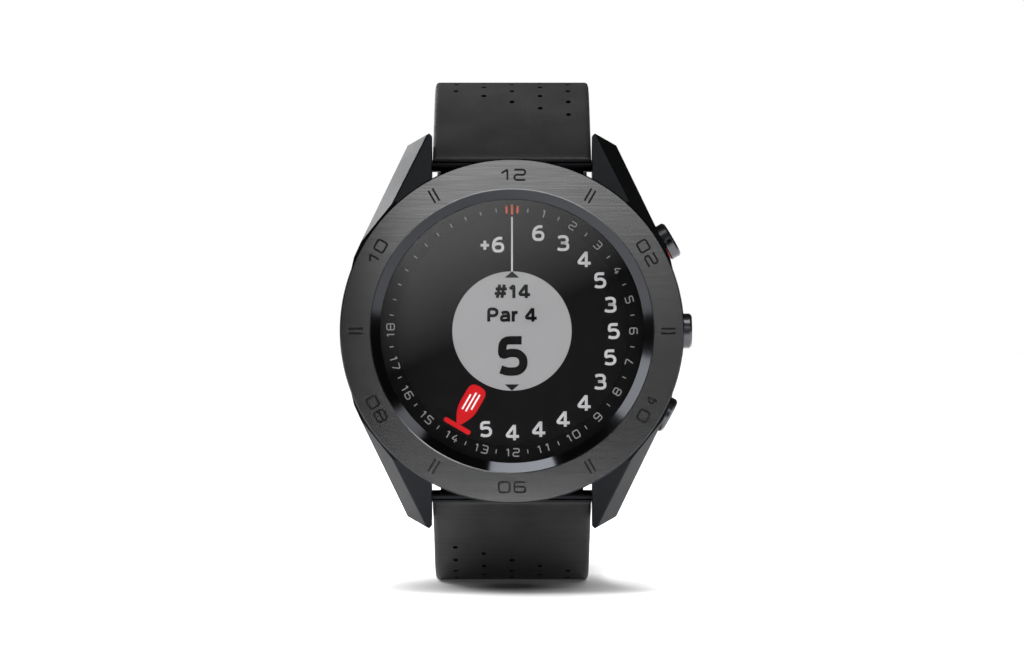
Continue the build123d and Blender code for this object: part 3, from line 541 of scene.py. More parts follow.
def brushed_bezel(face, edge):
    """Pattern of the bezel: straight grain across its flat face, polish on every slope."""

    def pattern(tree):
        place = add_node(tree, "ShaderNodeTexCoord").outputs["Object"]
        # Grain lines of a brushed face are about 0.02 mm apart, drawn four times coarser to show.
        drawn = add_node(
            tree, "ShaderNodeMapping", {"Scale": (per_metre(5.0), per_metre(0.08), per_metre(0.08))},
            {"Vector": place},
        )
        grain = add_node(
            tree, "ShaderNodeTexNoise", {"Scale": 1.0, "Detail": 3.0}, {"Vector": drawn.outputs[0]}
        )
        facing = add_node(
            tree, "ShaderNodeSeparateXYZ",
            links={"Vector": add_node(tree, "ShaderNodeNewGeometry").outputs["Normal"]},
        )
        flat = add_node(
            tree, "ShaderNodeMapRange",
            {"From Min": -0.9, "From Max": -0.98, "To Min": 0.0, "To Max": 1.0},
            {"Value": facing.outputs["Y"]},
        )
        shade = add_node(
            tree, "ShaderNodeMapRange", {**NOISE_SPAN, "To Min": 0.72, "To Max": 1.0},
            {"Value": grain.outputs[0]},
        )
        streaked = add_node(
            tree, "ShaderNodeMix",
            {"data_type": "RGBA", "blend_type": "MULTIPLY", FACTOR: 1.0, COLOUR_A: opaque(face)},
            {COLOUR_B: shade.outputs[0]},
        )
        colour = add_node(
            tree, "ShaderNodeMix", {"data_type": "RGBA", COLOUR_A: opaque(edge)},
            {FACTOR: flat.outputs[0], COLOUR_B: streaked.outputs[MIXED]},
        )
        roughness = add_node(
            tree, "ShaderNodeMapRange",
            {"From Min": 0.0, "From Max": 1.0, "To Min": 0.1, "To Max": 0.16},
            {"Value": flat.outputs[0]},
        )
        bump = add_node(
            tree, "ShaderNodeBump", {"Distance": 0.0003 * MM},
            {"Height": grain.outputs[0], "Strength": flat.outputs[0]},
        )
        upright = add_node(tree, "ShaderNodeCombineXYZ", {"Z": 1.0})
        return {
            "Base Color": colour.outputs[MIXED], "Roughness": roughness.outputs[0],
            "Normal": bump.outputs[0], "Tangent": upright.outputs[0],
        }

    return pattern


def leather_grain(colour, cell, depth, smooth, rough):
    """Pattern of leather: rounded cells, wider creases, a little unevenness of colour and painted shade
    near the bars.
    """

    def pattern(tree):
        place = add_node(tree, "ShaderNodeTexCoord").outputs["Object"]
        wander = add_node(
            tree, "ShaderNodeTexNoise", {"Scale": per_metre(1.4), "Detail": 2.0}, {"Vector": place}
        )
        warped = add_node(
            tree, "ShaderNodeVectorMath", {"operation": "MULTIPLY_ADD", 1: (0.35 * MM,) * 3},
            {0: wander.outputs["Color"], 2: place},
        )
        cells = add_node(
            tree, "ShaderNodeTexVoronoi", {"feature": "DISTANCE_TO_EDGE", "Scale": per_metre(cell)},
            {"Vector": warped.outputs[0]},
        )
        domes = add_node(
            tree, "ShaderNodeMapRange", {"From Min": 0.0, "From Max": 0.32}, {"Value": cells.outputs[0]}
        )
        creases = add_node(
            tree, "ShaderNodeMapping", {"Scale": (per_metre(9.0), per_metre(1.6), per_metre(1.6))},
            {"Vector": place},
        )
        folds = add_node(
            tree, "ShaderNodeTexNoise", {"Scale": 1.0, "Detail": 4.0}, {"Vector": creases.outputs[0]}
        )
        grain = add_node(
            tree, "ShaderNodeBump", {"Distance": depth * MM, "Strength": 1.0},
            {"Height": domes.outputs[0]},
        )
        creased = add_node(
            tree, "ShaderNodeBump", {"Distance": 0.09 * MM, "Strength": 1.0},
            {"Height": folds.outputs[0], "Normal": grain.outputs[0]},
        )
        dyed = add_node(
            tree, "ShaderNodeTexNoise", {"Scale": per_metre(6.0), "Detail": 5.0}, {"Vector": place}
        )
        shade = add_node(
            tree, "ShaderNodeMapRange", {**NOISE_SPAN, "To Min": 0.82, "To Max": 1.12},
            {"Value": dyed.outputs[0]},
        )
        # Painted shade: the colour is darker near the bars, where the case shades the strap.
        height = add_node(tree, "ShaderNodeSeparateXYZ", links={"Vector": place}).outputs["Z"]
        from_middle = add_node(tree, "ShaderNodeMath", {"operation": "ABSOLUTE"}, {0: height})
        painted_shade_by_bar = add_node(
            tree, "ShaderNodeMapRange",
            {"From Min": 20.5 * MM, "From Max": 29 * MM, "To Min": 0.35, "To Max": 1.0},
            {"Value": from_middle.outputs[0]},
        )
        shaded = add_node(
            tree, "ShaderNodeMath", {"operation": "MULTIPLY"},
            {0: shade.outputs[0], 1: painted_shade_by_bar.outputs[0]},
        )
        tinted = add_node(
            tree, "ShaderNodeMix",
            {"data_type": "RGBA", "blend_type": "MULTIPLY", FACTOR: 1.0, COLOUR_A: opaque(colour)},
            {COLOUR_B: shaded.outputs[0]},
        )
        roughness = add_node(
            tree, "ShaderNodeMapRange", {**NOISE_SPAN, "To Min": smooth, "To Max": rough},
            {"Value": dyed.outputs[0]},
        )
        return {
            "Base Color": tinted.outputs[MIXED], "Roughness": roughness.outputs[0],
            "Normal": creased.outputs[0],
        }

    return pattern


def display_cells(colour):
    """Pattern of a reflective display: square cells with a thin dark line round each."""

    def pattern(tree):
        place = add_node(tree, "ShaderNodeTexCoord").outputs["Object"]
        turned = add_node(
            tree, "ShaderNodeMapping", {"Rotation": (pi / 2, 0.0, 0.0)}, {"Vector": place}
        )
        # Cells are 0.12 mm wide.
        cells = add_node(
            tree, "ShaderNodeTexBrick",
            {
                "offset": 0.0, "Scale": per_metre(1.0), "Brick Width": 0.12, "Row Height": 0.12,
                "Mortar Size": 0.006, "Mortar Smooth": 1.0, "Color1": opaque(colour),
                "Color2": opaque(colour), "Mortar": opaque([part * 0.7 for part in colour]),
            },
            {"Vector": turned.outputs[0]},
        )
        return {"Base Color": cells.outputs["Color"]}

    return pattern


# ==== materials ====


def coated_case_steel(settings):
    # Blasted steel with a black vapour coat: a soft, even, dark gloss without grain lines.
    return surface(
        "blasted_black_coated_steel", {"Base Color": opaque(settings.case), "Metallic": 1.0},
        pitted(0.06, 0.004, 0.36, 0.44),
    )


def brushed_bezel_steel(settings):
    # Steel with a dark grey vapour coat, brushed straight across: the gloss spreads up and down.
    return surface(
        "straight_brushed_grey_coated_steel", {"Metallic": 1.0, "Anisotropic": 0.75},
        brushed_bezel(settings.bezel, settings.bezel_polish),
    )


def filled_enamel():
    # Black enamel wiped into grooves: dark, smooth and slightly hollow.
    return surface(
        "wiped_black_enamel", {"Base Color": opaque(linear("#0C0C0D")), "IOR": 1.5},
        pitted(0.2, 0.002, 0.24, 0.34),
    )


def watch_glass():
    # Toughened mineral glass, ground and polished: clear, with a faint mirror over the dial.
    return surface(
        "polished_mineral_glass",
        {
            "Base Color": opaque(linear("#FFFFFF")), "Transmission Weight": 1.0, "IOR": 1.5,
            "Roughness": 0.0,
        },
        even,
    )


def moulded_rubber():
    # Black silicone rubber, moulded: dull, with a soft bloom.
    return surface(
        "moulded_black_rubber", {"Base Color": opaque(linear("#1B1B1C")), "IOR": 1.43},
        pitted(0.12, 0.004, 0.6, 0.75),
    )


def printed_ring_plastic():
    # Polycarbonate sheet with a matt black print: nearly no gloss.
    return surface(
        "matt_black_polycarbonate",
        {"Base Color": opaque(linear("#070708")), "Specular IOR Level": 0.1},
        pitted(0.08, 0.002, 0.42, 0.52),
    )


def pad_print(name, colour):
    # Pad-printed ink: flat colour with an even, slightly silky surface, and a faint painted glow that
    # brightens it.
    return surface(
        name,
        {
            "Base Color": opaque(colour), "Emission Color": opaque(colour), "Emission Strength": 0.12,
            "IOR": 1.48,
        },
        pitted(0.05, 0.001, 0.5, 0.6),
    )


def display_film(name, colour, glow):
    # Reflective liquid crystal cells under a smooth polariser: flat colour, with a painted glow of its
    # own colour standing in for the room light the cells give back.
    return surface(
        name,
        {
            "Emission Color": opaque(colour), "Emission Strength": glow, "Roughness": 0.4,
            "Specular IOR Level": 0.15,
        },
        display_cells(colour),
    )


def coated_button_steel(settings):
    # Turned steel with a dark vapour coat: brighter edges and a fairly sharp gloss.
    return surface(
        "turned_dark_coated_steel", {"Base Color": opaque(settings.button), "Metallic": 1.0},
        pitted(0.05, 0.003, 0.22, 0.3),
    )


def dyed_collar(settings):
    # Aluminium, turned, anodised and dyed orange: a coloured satin metal.
    return surface(
        "orange_anodised_aluminium", {"Base Color": opaque(settings.collar), "Metallic": 0.3},
        scratched((2.0, 2.0, 0.05), 0.002, 0.3, 0.42),
    )


def moulded_nylon(name, colour):
    # Glass-filled nylon, moulded: faintly mottled and satin.
    return surface(
        name, {"Base Color": opaque(linear(colour)), "IOR": 1.53}, pitted(0.09, 0.005, 0.45, 0.58)
    )


def drawn_steel():
    # Bright stainless steel, drawn and tumbled: pale, with fine lines along it.
    return surface(
        "drawn_stainless_steel", {"Base Color": opaque(linear("#C4C3C0")), "Metallic": 1.0},
        scratched((3.0, 0.08, 0.08), 0.003, 0.2, 0.32),
    )


def dark_buckle_steel():
    # Steel with a dark vapour coat, brushed along the buckle: grey gloss with fine lines.
    return surface(
        "brushed_dark_coated_steel", {"Base Color": opaque(linear("#5C5D60")), "Metallic": 1.0},
        scratched((0.08, 4.0, 4.0), 0.003, 0.24, 0.34),
    )


def plated_contacts():
    # Brass, turned and gold plated: warm and bright.
    return surface(
        "gold_plated_brass", {"Base Color": opaque(linear("#E7C06A")), "Metallic": 1.0},
        pitted(0.08, 0.002, 0.16, 0.24),
    )


def masked_board():
    # Glass-fibre board under a green mask: glossy, with the weave just showing.
    return surface(
        "green_masked_glass_fibre",
        {"Base Color": opaque(linear("#1E4A33")), "IOR": 1.55, "Coat Weight": 0.5},
        pitted(0.5, 0.01, 0.3, 0.4),
    )


def cell_pouch():
    # Aluminium-laminated pouch: dull silver with soft wrinkles.
    return surface(
        "laminated_aluminium_foil", {"Base Color": opaque(linear("#B9BABD")), "Metallic": 1.0},
        pitted(1.2, 0.03, 0.34, 0.48),
    )


def smooth_leather(settings):
    # Cowhide with a smooth black finish: soft highlights broken by fine grain and creases.
    return surface(
        "smooth_finished_black_leather", {"IOR": 1.48, "Specular IOR Level": 0.35},
        leather_grain(settings.leather, 0.42, 0.012, 0.42, 0.56),
    )


def painted_edge():
    # Edge paint on cut leather: a smooth rounded black line, glossier than the leather.
    return surface(
        "painted_leather_edge", {"Base Color": opaque(linear("#141415")), "IOR": 1.48},
        pitted(0.4, 0.01, 0.34, 0.44),
    )


def nubuck_lining(settings):
    # Sanded lining leather: matt, with a short nap that pales at a low angle.
    return surface(
        "sanded_lining_leather", {"IOR": 1.45, "Sheen Weight": 0.25, "Sheen Roughness": 0.5},
        leather_grain(settings.lining, 0.25, 0.015, 0.72, 0.86),
    )


# ==== meshes ====


def join_rows(mesh, rows, closed):
    """Skin between rows of points that each go round a section, with lids if it is open."""
    following = rows[1:] + rows[:1] if closed else rows[1:]
    for row, other in zip(rows, following):
        for index, point in enumerate(row):
            mesh.faces.new((row[index - 1], point, other[index], other[index - 1]))
    if not closed:
        mesh.faces.new(rows[0])
        mesh.faces.new(rows[-1])


def add_piece(name, mesh, materials, body, replaced=(), sharp=35):
    """Finish a mesh as a piece of the watch that rides on a body."""
    bmesh.ops.recalc_face_normals(mesh, faces=mesh.faces[:])
    data = bpy.data.meshes.new(name)
    mesh.to_mesh(data)
    mesh.free()
    data.shade_smooth()
    data.set_sharp_from_angle(angle=radians(sharp))
    for material in materials:
        data.materials.append(material)
    piece = bpy.data.objects.new(name, data)
    bpy.context.scene.collection.objects.link(piece)
    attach(piece, body)
    if replaced:
        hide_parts(*replaced)
    return piece


def dress(material, *names):
    """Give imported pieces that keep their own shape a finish."""
    for name in names:
        for place in NODES[name].material_slots:
            place.material = material


def rounded_line(points, radius, closed):
    """A line whose corners are eased."""
    corners = [Vector(point) for point in points]
    eased = []
    for index, corner in enumerate(corners):
        if not closed and index in (0, len(corners) - 1):
            eased.append(corner)
            continue
        before = corners[index - 1] - corner
        after = corners[(index + 1) % len(corners)] - corner
        reach = min(radius, before.length * 0.45, after.length * 0.45)
        start = corner + before.normalized() * reach
        end = corner + after.normalized() * reach
        for share in (0, 0.25, 0.5, 0.75, 1):
            eased.append(start * (1 - share) ** 2 + corner * 2 * share * (1 - share) + end * share**2)
    return eased


def stroke(mesh, line, width, place, closed=False):
    """A flat printed stroke along a line."""
    rows = []
    for index, point in enumerate(line):
        before = line[index - 1] if closed or index else point
        after = line[(index + 1) % len(line)] if closed or index < len(line) - 1 else point
        run = (after - before).normalized()
        aside = Vector((-run.y, run.x)) * width / 2
        left, right = point + aside, point - aside
        corners = ((left, INK_DEPTH), (right, INK_DEPTH), (right, 0), (left, 0))
        rows.append([mesh.verts.new(place(spot.x, spot.y, height)) for spot, height in corners])
    join_rows(mesh, rows, closed)


def plate(mesh, outline, place):
    """A flat printed shape inside an outline."""
    front = [mesh.verts.new(place(point[0], point[1], INK_DEPTH)) for point in outline]
    back = [mesh.verts.new(place(point[0], point[1], 0)) for point in outline]
    join_rows(mesh, [front, back], False)


def figures(mesh, text, height, width, place):
    """Squarish printed figures, centred on their placer."""
    pitch = 1.12 * height
    for index, figure in enumerate(text):
        aside = (index - (len(text) - 1) / 2) * pitch
        for points, closed in FIGURE_STROKES[figure]:
            scaled = [(aside + x * height, y * height) for x, y in points]
            stroke(mesh, rounded_line(scaled, 0.25 * height, closed), width, place, closed)


def lettering(mesh, text, height, weight, place):
    """Rounded letters and digits in strokes a share of their height wide, centred on their placer."""
    widths = [LETTERS[letter][0] * LETTER_STRETCH for letter in text]
    left = -(sum(widths) + LETTER_SPACE * (len(text) - 1)) / 2
    inside = 1 - weight
    for letter, width in zip(text, widths):
        for points in LETTERS[letter][1]:
            scaled = [
                ((left + weight / 2 + x * (width - weight)) * height, (y - 0.5) * inside * height)
                for x, y in points
            ]
            stroke(mesh, rounded_line(scaled, 0.2 * height, False), weight * height, place)
        left += width + LETTER_SPACE


def dial_place(front, middle=(0, 0)):
    """Placer for flat figures on a face that looks along -Y."""

    def place(x, y, height):
        return Vector((middle[0] + x, front - height, middle[1] + y))

    return place


def clock_place(front, angle, radius, flipped=False):
    """Placer at a clock angle and radius, with its top pointing out, or in if flipped."""
    turn = -1 if flipped else 1
    out = Vector((sin(radians(angle)), cos(radians(angle))))
    aside = Vector((out.y, -out.x))

    def place(x, y, height):
        spot = out * (radius + turn * y) + aside * turn * x
        return Vector((spot.x, front - height, spot.y))

    return place


def circle_points(radius, count):
    """Points of a circle."""
    return [
        (radius * cos(2 * pi * step / count), radius * sin(2 * pi * step / count)) for step in range(
            count
        )
    ]


# ==== strap shapes ====


def strap_length(half):
    """Length of a strap half along its middle line."""
    return sum(length for length, radius in RUNS[half])


def strap_half_width(y):
    """Half the width of the strap at a depth behind its bars."""
    share = max(0.0, (y - TAPER_FROM) / (BUCKLE.y - TAPER_FROM))
    return (STRAP_WIDTH + (STRAP_BUCKLE_WIDTH - STRAP_WIDTH) * share) / 2


def strap_point(half, across, along, outward):
    """Point of a strap half: across at full width, along its middle line, and outward from the wrist."""
    y, z, heading = BAR.y, BAR.z, LEAN
    runs = RUNS[half]
    for index, (length, radius) in enumerate(runs):
        step = along if index == len(runs) - 1 else min(along, length)
        if radius:
            turned = heading + step / radius
            y += radius * (cos(heading) - cos(turned))
            z += radius * (sin(turned) - sin(heading))
            heading = turned
        else:
            y += step * sin(heading)
            z += step * cos(heading)
        along -= step
        if along <= 0:
            break
    narrowed = across * strap_half_width(y) * 2 / STRAP_WIDTH
    return Vector((narrowed, y - outward * cos(heading), SIDES[half] * (z + outward * sin(heading))))


def ruled(start, end, step):
    """Evenly spaced values from start to end, about a step apart."""
    count = max(1, round((end - start) / step))
    return [start + (end - start) * index / count for index in range(count + 1)]


def nearest(lines, value):
    """Index of the line nearest to a value."""
    return min(range(len(lines)), key=lambda index: abs(lines[index] - value))


def punched_sheet(across_lines, along_lines, holes, left_out):
    """Points and faces of a flat sheet ruled into squares, each hole in the middle of four by four."""
    width = len(across_lines)
    points = [(across, along) for along in along_lines for across in across_lines]
    covered = {
        (column + aside, row + ahead)
        for column, row, radius in holes
        for aside in range(4)
        for ahead in range(4)
    }
    faces = []
    for row in range(len(along_lines) - 1):
        for column in range(width - 1):
            corner = row * width + column
            if (column, row) not in covered and not left_out(
                across_lines[column : column + 2], along_lines[row]
            ):
                faces.append((corner, corner + 1, corner + width + 1, corner + width))
    for column, row, radius in holes:
        corner = row * width + column
        rim = [corner + step for step in range(4)]
        rim += [corner + 4 + step * width for step in range(4)]
        rim += [corner + 4 * width + 4 - step for step in range(4)]
        rim += [corner + (4 - step) * width for step in range(4)]
        centre = Vector(points[corner + 2 + 2 * width])
        first = len(points)
        for step in range(16):
            angle = radians(-135 + 22.5 * step)
            points.append((centre.x + radius * cos(angle), centre.y + radius * sin(angle)))
        for step in range(16):
            following = (step + 1) % 16
            faces.append((rim[step], rim[following], first + following, first + step))
    return points, faces


def slab(mesh, points, faces, outside, inside):
    """Closed solid between two placings of a flat sheet, with walls of the second material."""
    used = sorted({index for face in faces for index in face})
    tops = {index: mesh.verts.new(outside(*points[index])) for index in used}
    bottoms = {index: mesh.verts.new(inside(*points[index])) for index in used}
    rims = set()
    for face in faces:
        mesh.faces.new([tops[index] for index in face])
        mesh.faces.new([bottoms[index] for index in reversed(face)])
        for start, end in zip(face, face[1:] + face[:1]):
            if (end, start) in rims:
                rims.remove((end, start))
            else:
                rims.add((start, end))
    for start, end in sorted(rims):
        wall = mesh.faces.new((tops[end], tops[start], bottoms[start], bottoms[end]))
        wall.material_index = 1


def edge_drop(distance, radius):
    """How far a rounded edge falls at a distance from it."""
    if distance >= radius:
        return 0.0
    return radius - sqrt(max(0.0, radius**2 - (radius - distance) ** 2))


def layer_start(outward):
    """Where a layer of the strap begins beside its bar, at a height outward."""
    return (BAR_TO_LEATHER - outward * sin(LEAN)) / cos(LEAN)


def tip_share(half, along):
    """Share of the strap's width left at a place along the rounded tip of the tail."""
    into = (along - strap_length(half) + TAIL_TIP) / TAIL_TIP
    if half == "upper" or into <= 0:
        return 1.0
    return sqrt(max(0.0, 1 - into**2))


def tang_holes():
    """Places of the tang's holes along the lower half."""
    last = strap_length("lower") - TANG_HOLE_FROM_TIP
    return [last - TANG_HOLE_SPACING * index for index in reversed(range(TANG_HOLES))]


def tail_lines(start):
    """Lines across the tail, in fours at each tang hole and closing up at its tip."""
    lines = []
    reach = start
    for hole in tang_holes():
        lines += ruled(reach, hole - TANG_SQUARE, 0.9 * MM)[1:]
        lines += ruled(hole - TANG_SQUARE, hole + TANG_SQUARE, 0.75 * MM)[1:]
        reach = hole + TANG_SQUARE
    tip = strap_length("lower") - TAIL_TIP
    lines += ruled(reach, tip, 1.2 * MM)[1:]
    lines += [tip + TAIL_TIP * sin(radians(angle)) for angle in (9, 18, 28, 38, 48, 58, 67, 75, 82, 87)]
    return lines


def across_lines(strap):
    """Lines along the strap: four squares to each column of holes, and a rounded margin at each side."""
    columns = ruled(-2.5 * strap.column_pitch, 2.5 * strap.column_pitch, strap.column_pitch / 4)
    margin = STRAP_WIDTH / 2 - columns[-1]
    steps = [margin * share for share in (0.35, 0.65, 0.88, 1.0)]
    outer = [columns[-1] + step for step in steps]
    return [-value for value in reversed(outer)] + columns + outer


def strap_layer(half, strap, lines, holes, left_out, faces_at, starts, rounded):
    """One layer of a strap half as a closed mesh, rounded at the edges of one face."""
    across = across_lines(strap)
    points, faces = punched_sheet(across, lines, holes, left_out)
    length = strap_length(half)

    def placed(layer_face, other_start):
        sign = 1 if layer_face > LAYER_SPLIT or layer_face == POCKET_TOP else -1

        def place(aside, along):
            shift = (other_start - lines[0]) * max(0.0, 1 - (along - lines[0]) / FACE_FADE)
            share = tip_share(half, along)
            height = layer_face
            if layer_face == rounded:
                edges = [(STRAP_WIDTH / 2 - abs(aside)) * share, along - lines[0]]
                if half == "lower":
                    edges.append(length - along)
                height -= sign * max(edge_drop(edge, strap.edge_radius) for edge in edges)
            elif half_pocket(aside, along + shift) and layer_face == LAYER_SPLIT:
                height = POCKET_TOP
            return strap_point(half, aside * share, along + shift, height)

        return place

    mesh = bmesh.new()
    slab(mesh, points, faces, placed(faces_at[0], starts[0]), placed(faces_at[1], starts[1]))
    return mesh


def half_pocket(aside, along):
    """Whether a point of the sheet lies over the release end's tray."""
    return abs(aside) < POCKET_HALF_WIDTH and along < POCKET_LENGTH + 0.3 * MM


# ==== operators ====


class WATCH_OT_case(bpy.types.Operator):
    """Finish the case, its lugs, the case back and what is screwed to it"""

    bl_idname = "watch.case"
    bl_label = "Case and back"

    def execute(self, context):
        dress(coated_case_steel(context.scene.watch_metal), "case_body")
        dress(moulded_nylon("black_glass_filled_nylon", "#1F2022"), "case_back")
        dress(moulded_rubber(), "back_seal", "glass_gasket")
        dress(plated_contacts(), "charging_contacts")
        return {"FINISHED"}


class WATCH_OT_bezel(bpy.types.Operator):
    """Brush the bezel and fill its cut figures with enamel"""

    bl_idname = "watch.bezel"
    bl_label = "Bezel"

    def execute(self, context):
        dress(brushed_bezel_steel(context.scene.watch_metal), "bezel")
        dress(filled_enamel(), "bezel_paint")
        return {"FINISHED"}


class WATCH_OT_glass(bpy.types.Operator):
    """Make the watch glass clear and let light through it"""

    bl_idname = "watch.glass"
    bl_label = "Glass"

    def execute(self, context):
        dress(watch_glass(), "glass")
        NODES["glass"].visible_shadow = False
        return {"FINISHED"}


class WATCH_OT_number_ring(bpy.types.Operator):
    """Print the hole numbers, ticks and index on the ring round the display"""

    bl_idname = "watch.number_ring"
    bl_label = "Number ring"

    def execute(self, context):
        dial = context.scene.watch_dial
        dress(printed_ring_plastic(), "number_ring")
        radius = dial.ring_figure_radius
        height = dial.ring_figure_height
        printed = bmesh.new()
        for hole in range(1, HOLES_ON_COURSE + 1):
            angle = hole * HOLE_STEP
            flipped = 6 < hole < 18
            place = clock_place(RING_FRONT, angle, radius, flipped)
            figures(printed, str(hole), height, RING_STROKE, place)
            self.mark(printed, angle - HOLE_STEP / 2, radius, TICK_REACH, TICK_WIDTH)
        for angle in ruled(*TICKS_ALONE, HOLE_STEP / 2):
            self.mark(printed, angle, radius, TICK_REACH, TICK_WIDTH)
        ink = pad_print("grey_pad_printed_ink", dial.ink)
        add_piece("ring_figures", printed, [ink], "case")
        index = bmesh.new()
        for angle in (-INDEX_SPREAD, 0, INDEX_SPREAD):
            self.mark(index, angle, radius, INDEX_REACH if angle else INDEX_LONG_REACH, INDEX_WIDTH)
        orange = pad_print("orange_pad_printed_ink", dial.orange)
        add_piece("ring_index", index, [orange], "case")
        return {"FINISHED"}

    def mark(self, mesh, angle, radius, reach, width):
        """A short stroke on the ring that points away from the dial's middle."""
        line = [Vector((0, -reach)), Vector((0, reach))]
        stroke(mesh, line, width, clock_place(RING_FRONT, angle, radius))


class WATCH_OT_display(bpy.types.Operator):
    """Lay out a round of golf on the display"""

    bl_idname = "watch.display"
    bl_label = "Display"

    def execute(self, context):
        dial = context.scene.watch_dial
        dress(display_film("display_dark_cells", linear("#0B0B0C"), 0.0), "display_module")
        # The pale, grey, red and white cells carry a painted glow that brightens them.
        pale = display_film("display_pale_cells", dial.pale, 0.3)
        grey = display_film("display_grey_cells", dial.disc, 0.3)
        dark = display_film("display_ink_cells", linear("#121213"), 0.0)
        red = display_film("display_red_cells", dial.red, 0.25)
        white = display_film("display_white_cells", linear("#F0F0F0"), 0.3)

        scores = bmesh.new()
        for hole, score in enumerate(SCORES, 1):
            angle = radians(hole * HOLE_STEP)
            middle = (dial.score_radius * sin(angle), dial.score_radius * cos(angle))
            lettering(
                scores, str(score), dial.score_height, SCORE_WEIGHT, dial_place(DISPLAY_FRONT, middle)
            )
        place = dial_place(DISPLAY_FRONT, TOTAL_AT)
        lettering(scores, "+6", dial.score_height, SCORE_WEIGHT, place)
        add_piece("display_scores", scores, [pale], "case")

        hand = bmesh.new()
        line = [Vector((0, dial.disc_radius)), Vector((0, HAND_END))]
        stroke(hand, line, HAND_WIDTH, dial_place(DISPLAY_FRONT))
        add_piece("display_hand", hand, [pale], "case")

        disc = bmesh.new()
        plate(disc, circle_points(dial.disc_radius, 96), dial_place(DISPLAY_FRONT))
        add_piece("display_disc", disc, [grey], "case")

        on_disc = DISPLAY_FRONT - INK_DEPTH
        words = bmesh.new()
        lettering(words, "#14", WORD_HEIGHT, BOLD_WEIGHT, dial_place(on_disc, HOLE_WORD_AT))
        lettering(words, "Par 4", WORD_HEIGHT, BOLD_WEIGHT, dial_place(on_disc, PAR_WORD_AT))
        lettering(words, "5", BIG_FIGURE_HEIGHT, BOLD_WEIGHT, dial_place(on_disc, BIG_FIGURE_AT))
        for turn in (1, -1):
            tip = turn * dial.disc_radius
            base = tip - turn * POINTER_HEIGHT
            plate(
                words, [(-POINTER_HALF_WIDTH, base), (POINTER_HALF_WIDTH, base), (0, tip)],
                dial_place(on_disc),
            )
        add_piece("display_disc_text", words, [dark], "case")

        marker = bmesh.new()
        place = clock_place(DISPLAY_FRONT, 14 * HOLE_STEP, 0)
        outline = [
            (-1.2 * MM, 7.9 * MM), (1.2 * MM, 7.9 * MM), (1.2 * MM, 11.5 * MM), (0.3 * MM, 13.2 * MM),
            (-0.3 * MM, 13.2 * MM), (-1.2 * MM, 11.5 * MM),
        ]
        plate(marker, rounded_line(outline, 1.1 * MM, True), place)
        base = [
            (-1.85 * MM, 13.2 * MM), (1.85 * MM, 13.2 * MM), (1.85 * MM, 13.8 * MM),
            (-1.85 * MM, 13.8 * MM),
        ]
        plate(marker, rounded_line(base, 0.3 * MM, True), place)
        add_piece("display_marker", marker, [red], "case")

        lines = bmesh.new()
        place = clock_place(on_disc, 14 * HOLE_STEP, 0)
        for aside, start, end in ((-0.5, 8.8, 10.9), (0, 8.8, 11.4), (0.5, 9.3, 11.4)):
            line = [Vector((aside * MM, start * MM)), Vector((aside * MM, end * MM))]
            stroke(lines, line, MARKER_LINE_WIDTH, place)
        add_piece("display_marker_lines", lines, [white], "case")
        return {"FINISHED"}


class WATCH_OT_buttons(bpy.types.Operator):
    """Finish the three buttons and what holds and returns them"""

    bl_idname = "watch.buttons"
    bl_label = "Buttons"

    def execute(self, context):
        names = ["button_" + name for name in ("top", "middle", "bottom")]
        dress(coated_button_steel(context.scene.watch_metal), *names)
        dress(dyed_collar(context.scene.watch_metal), "button_top_collar")
        dress(moulded_rubber(), *[name + "_seal" for name in names])
        dress(drawn_steel(), *[name + part for name in names for part in ("_clip", "_spring")])
        return {"FINISHED"}


class WATCH_OT_inside(bpy.types.Operator):
    """Finish what is inside the case"""

    bl_idname = "watch.inside"
    bl_label = "Inside"

    def execute(self, context):
        dress(plated_contacts(), "antenna_ring")
        dress(masked_board(), "main_board")
        dress(moulded_nylon("moulded_black_epoxy", "#202124"), "board_chips", "button_switches")
        dress(moulded_nylon("grey_moulded_nylon", "#5B5D60"), "chassis")
        dress(cell_pouch(), "battery")
        dress(drawn_steel(), "vibration_motor", "case_back_screws")
        return {"FINISHED"}


class WATCH_OT_release_ends(bpy.types.Operator):
    """Finish the strap bars and the quick-release ends"""

    bl_idname = "watch.release_ends"
    bl_label = "Release ends"

    def execute(self, context):
        coat = coated_case_steel(context.scene.watch_metal)
        bright = drawn_steel()
        for half in SIDES:
            dress(coat, "strap_bar_" + half, "release_end_" + half)
            dress(bright, "latch_" + half, "latch_spring_" + half)
        return {"FINISHED"}


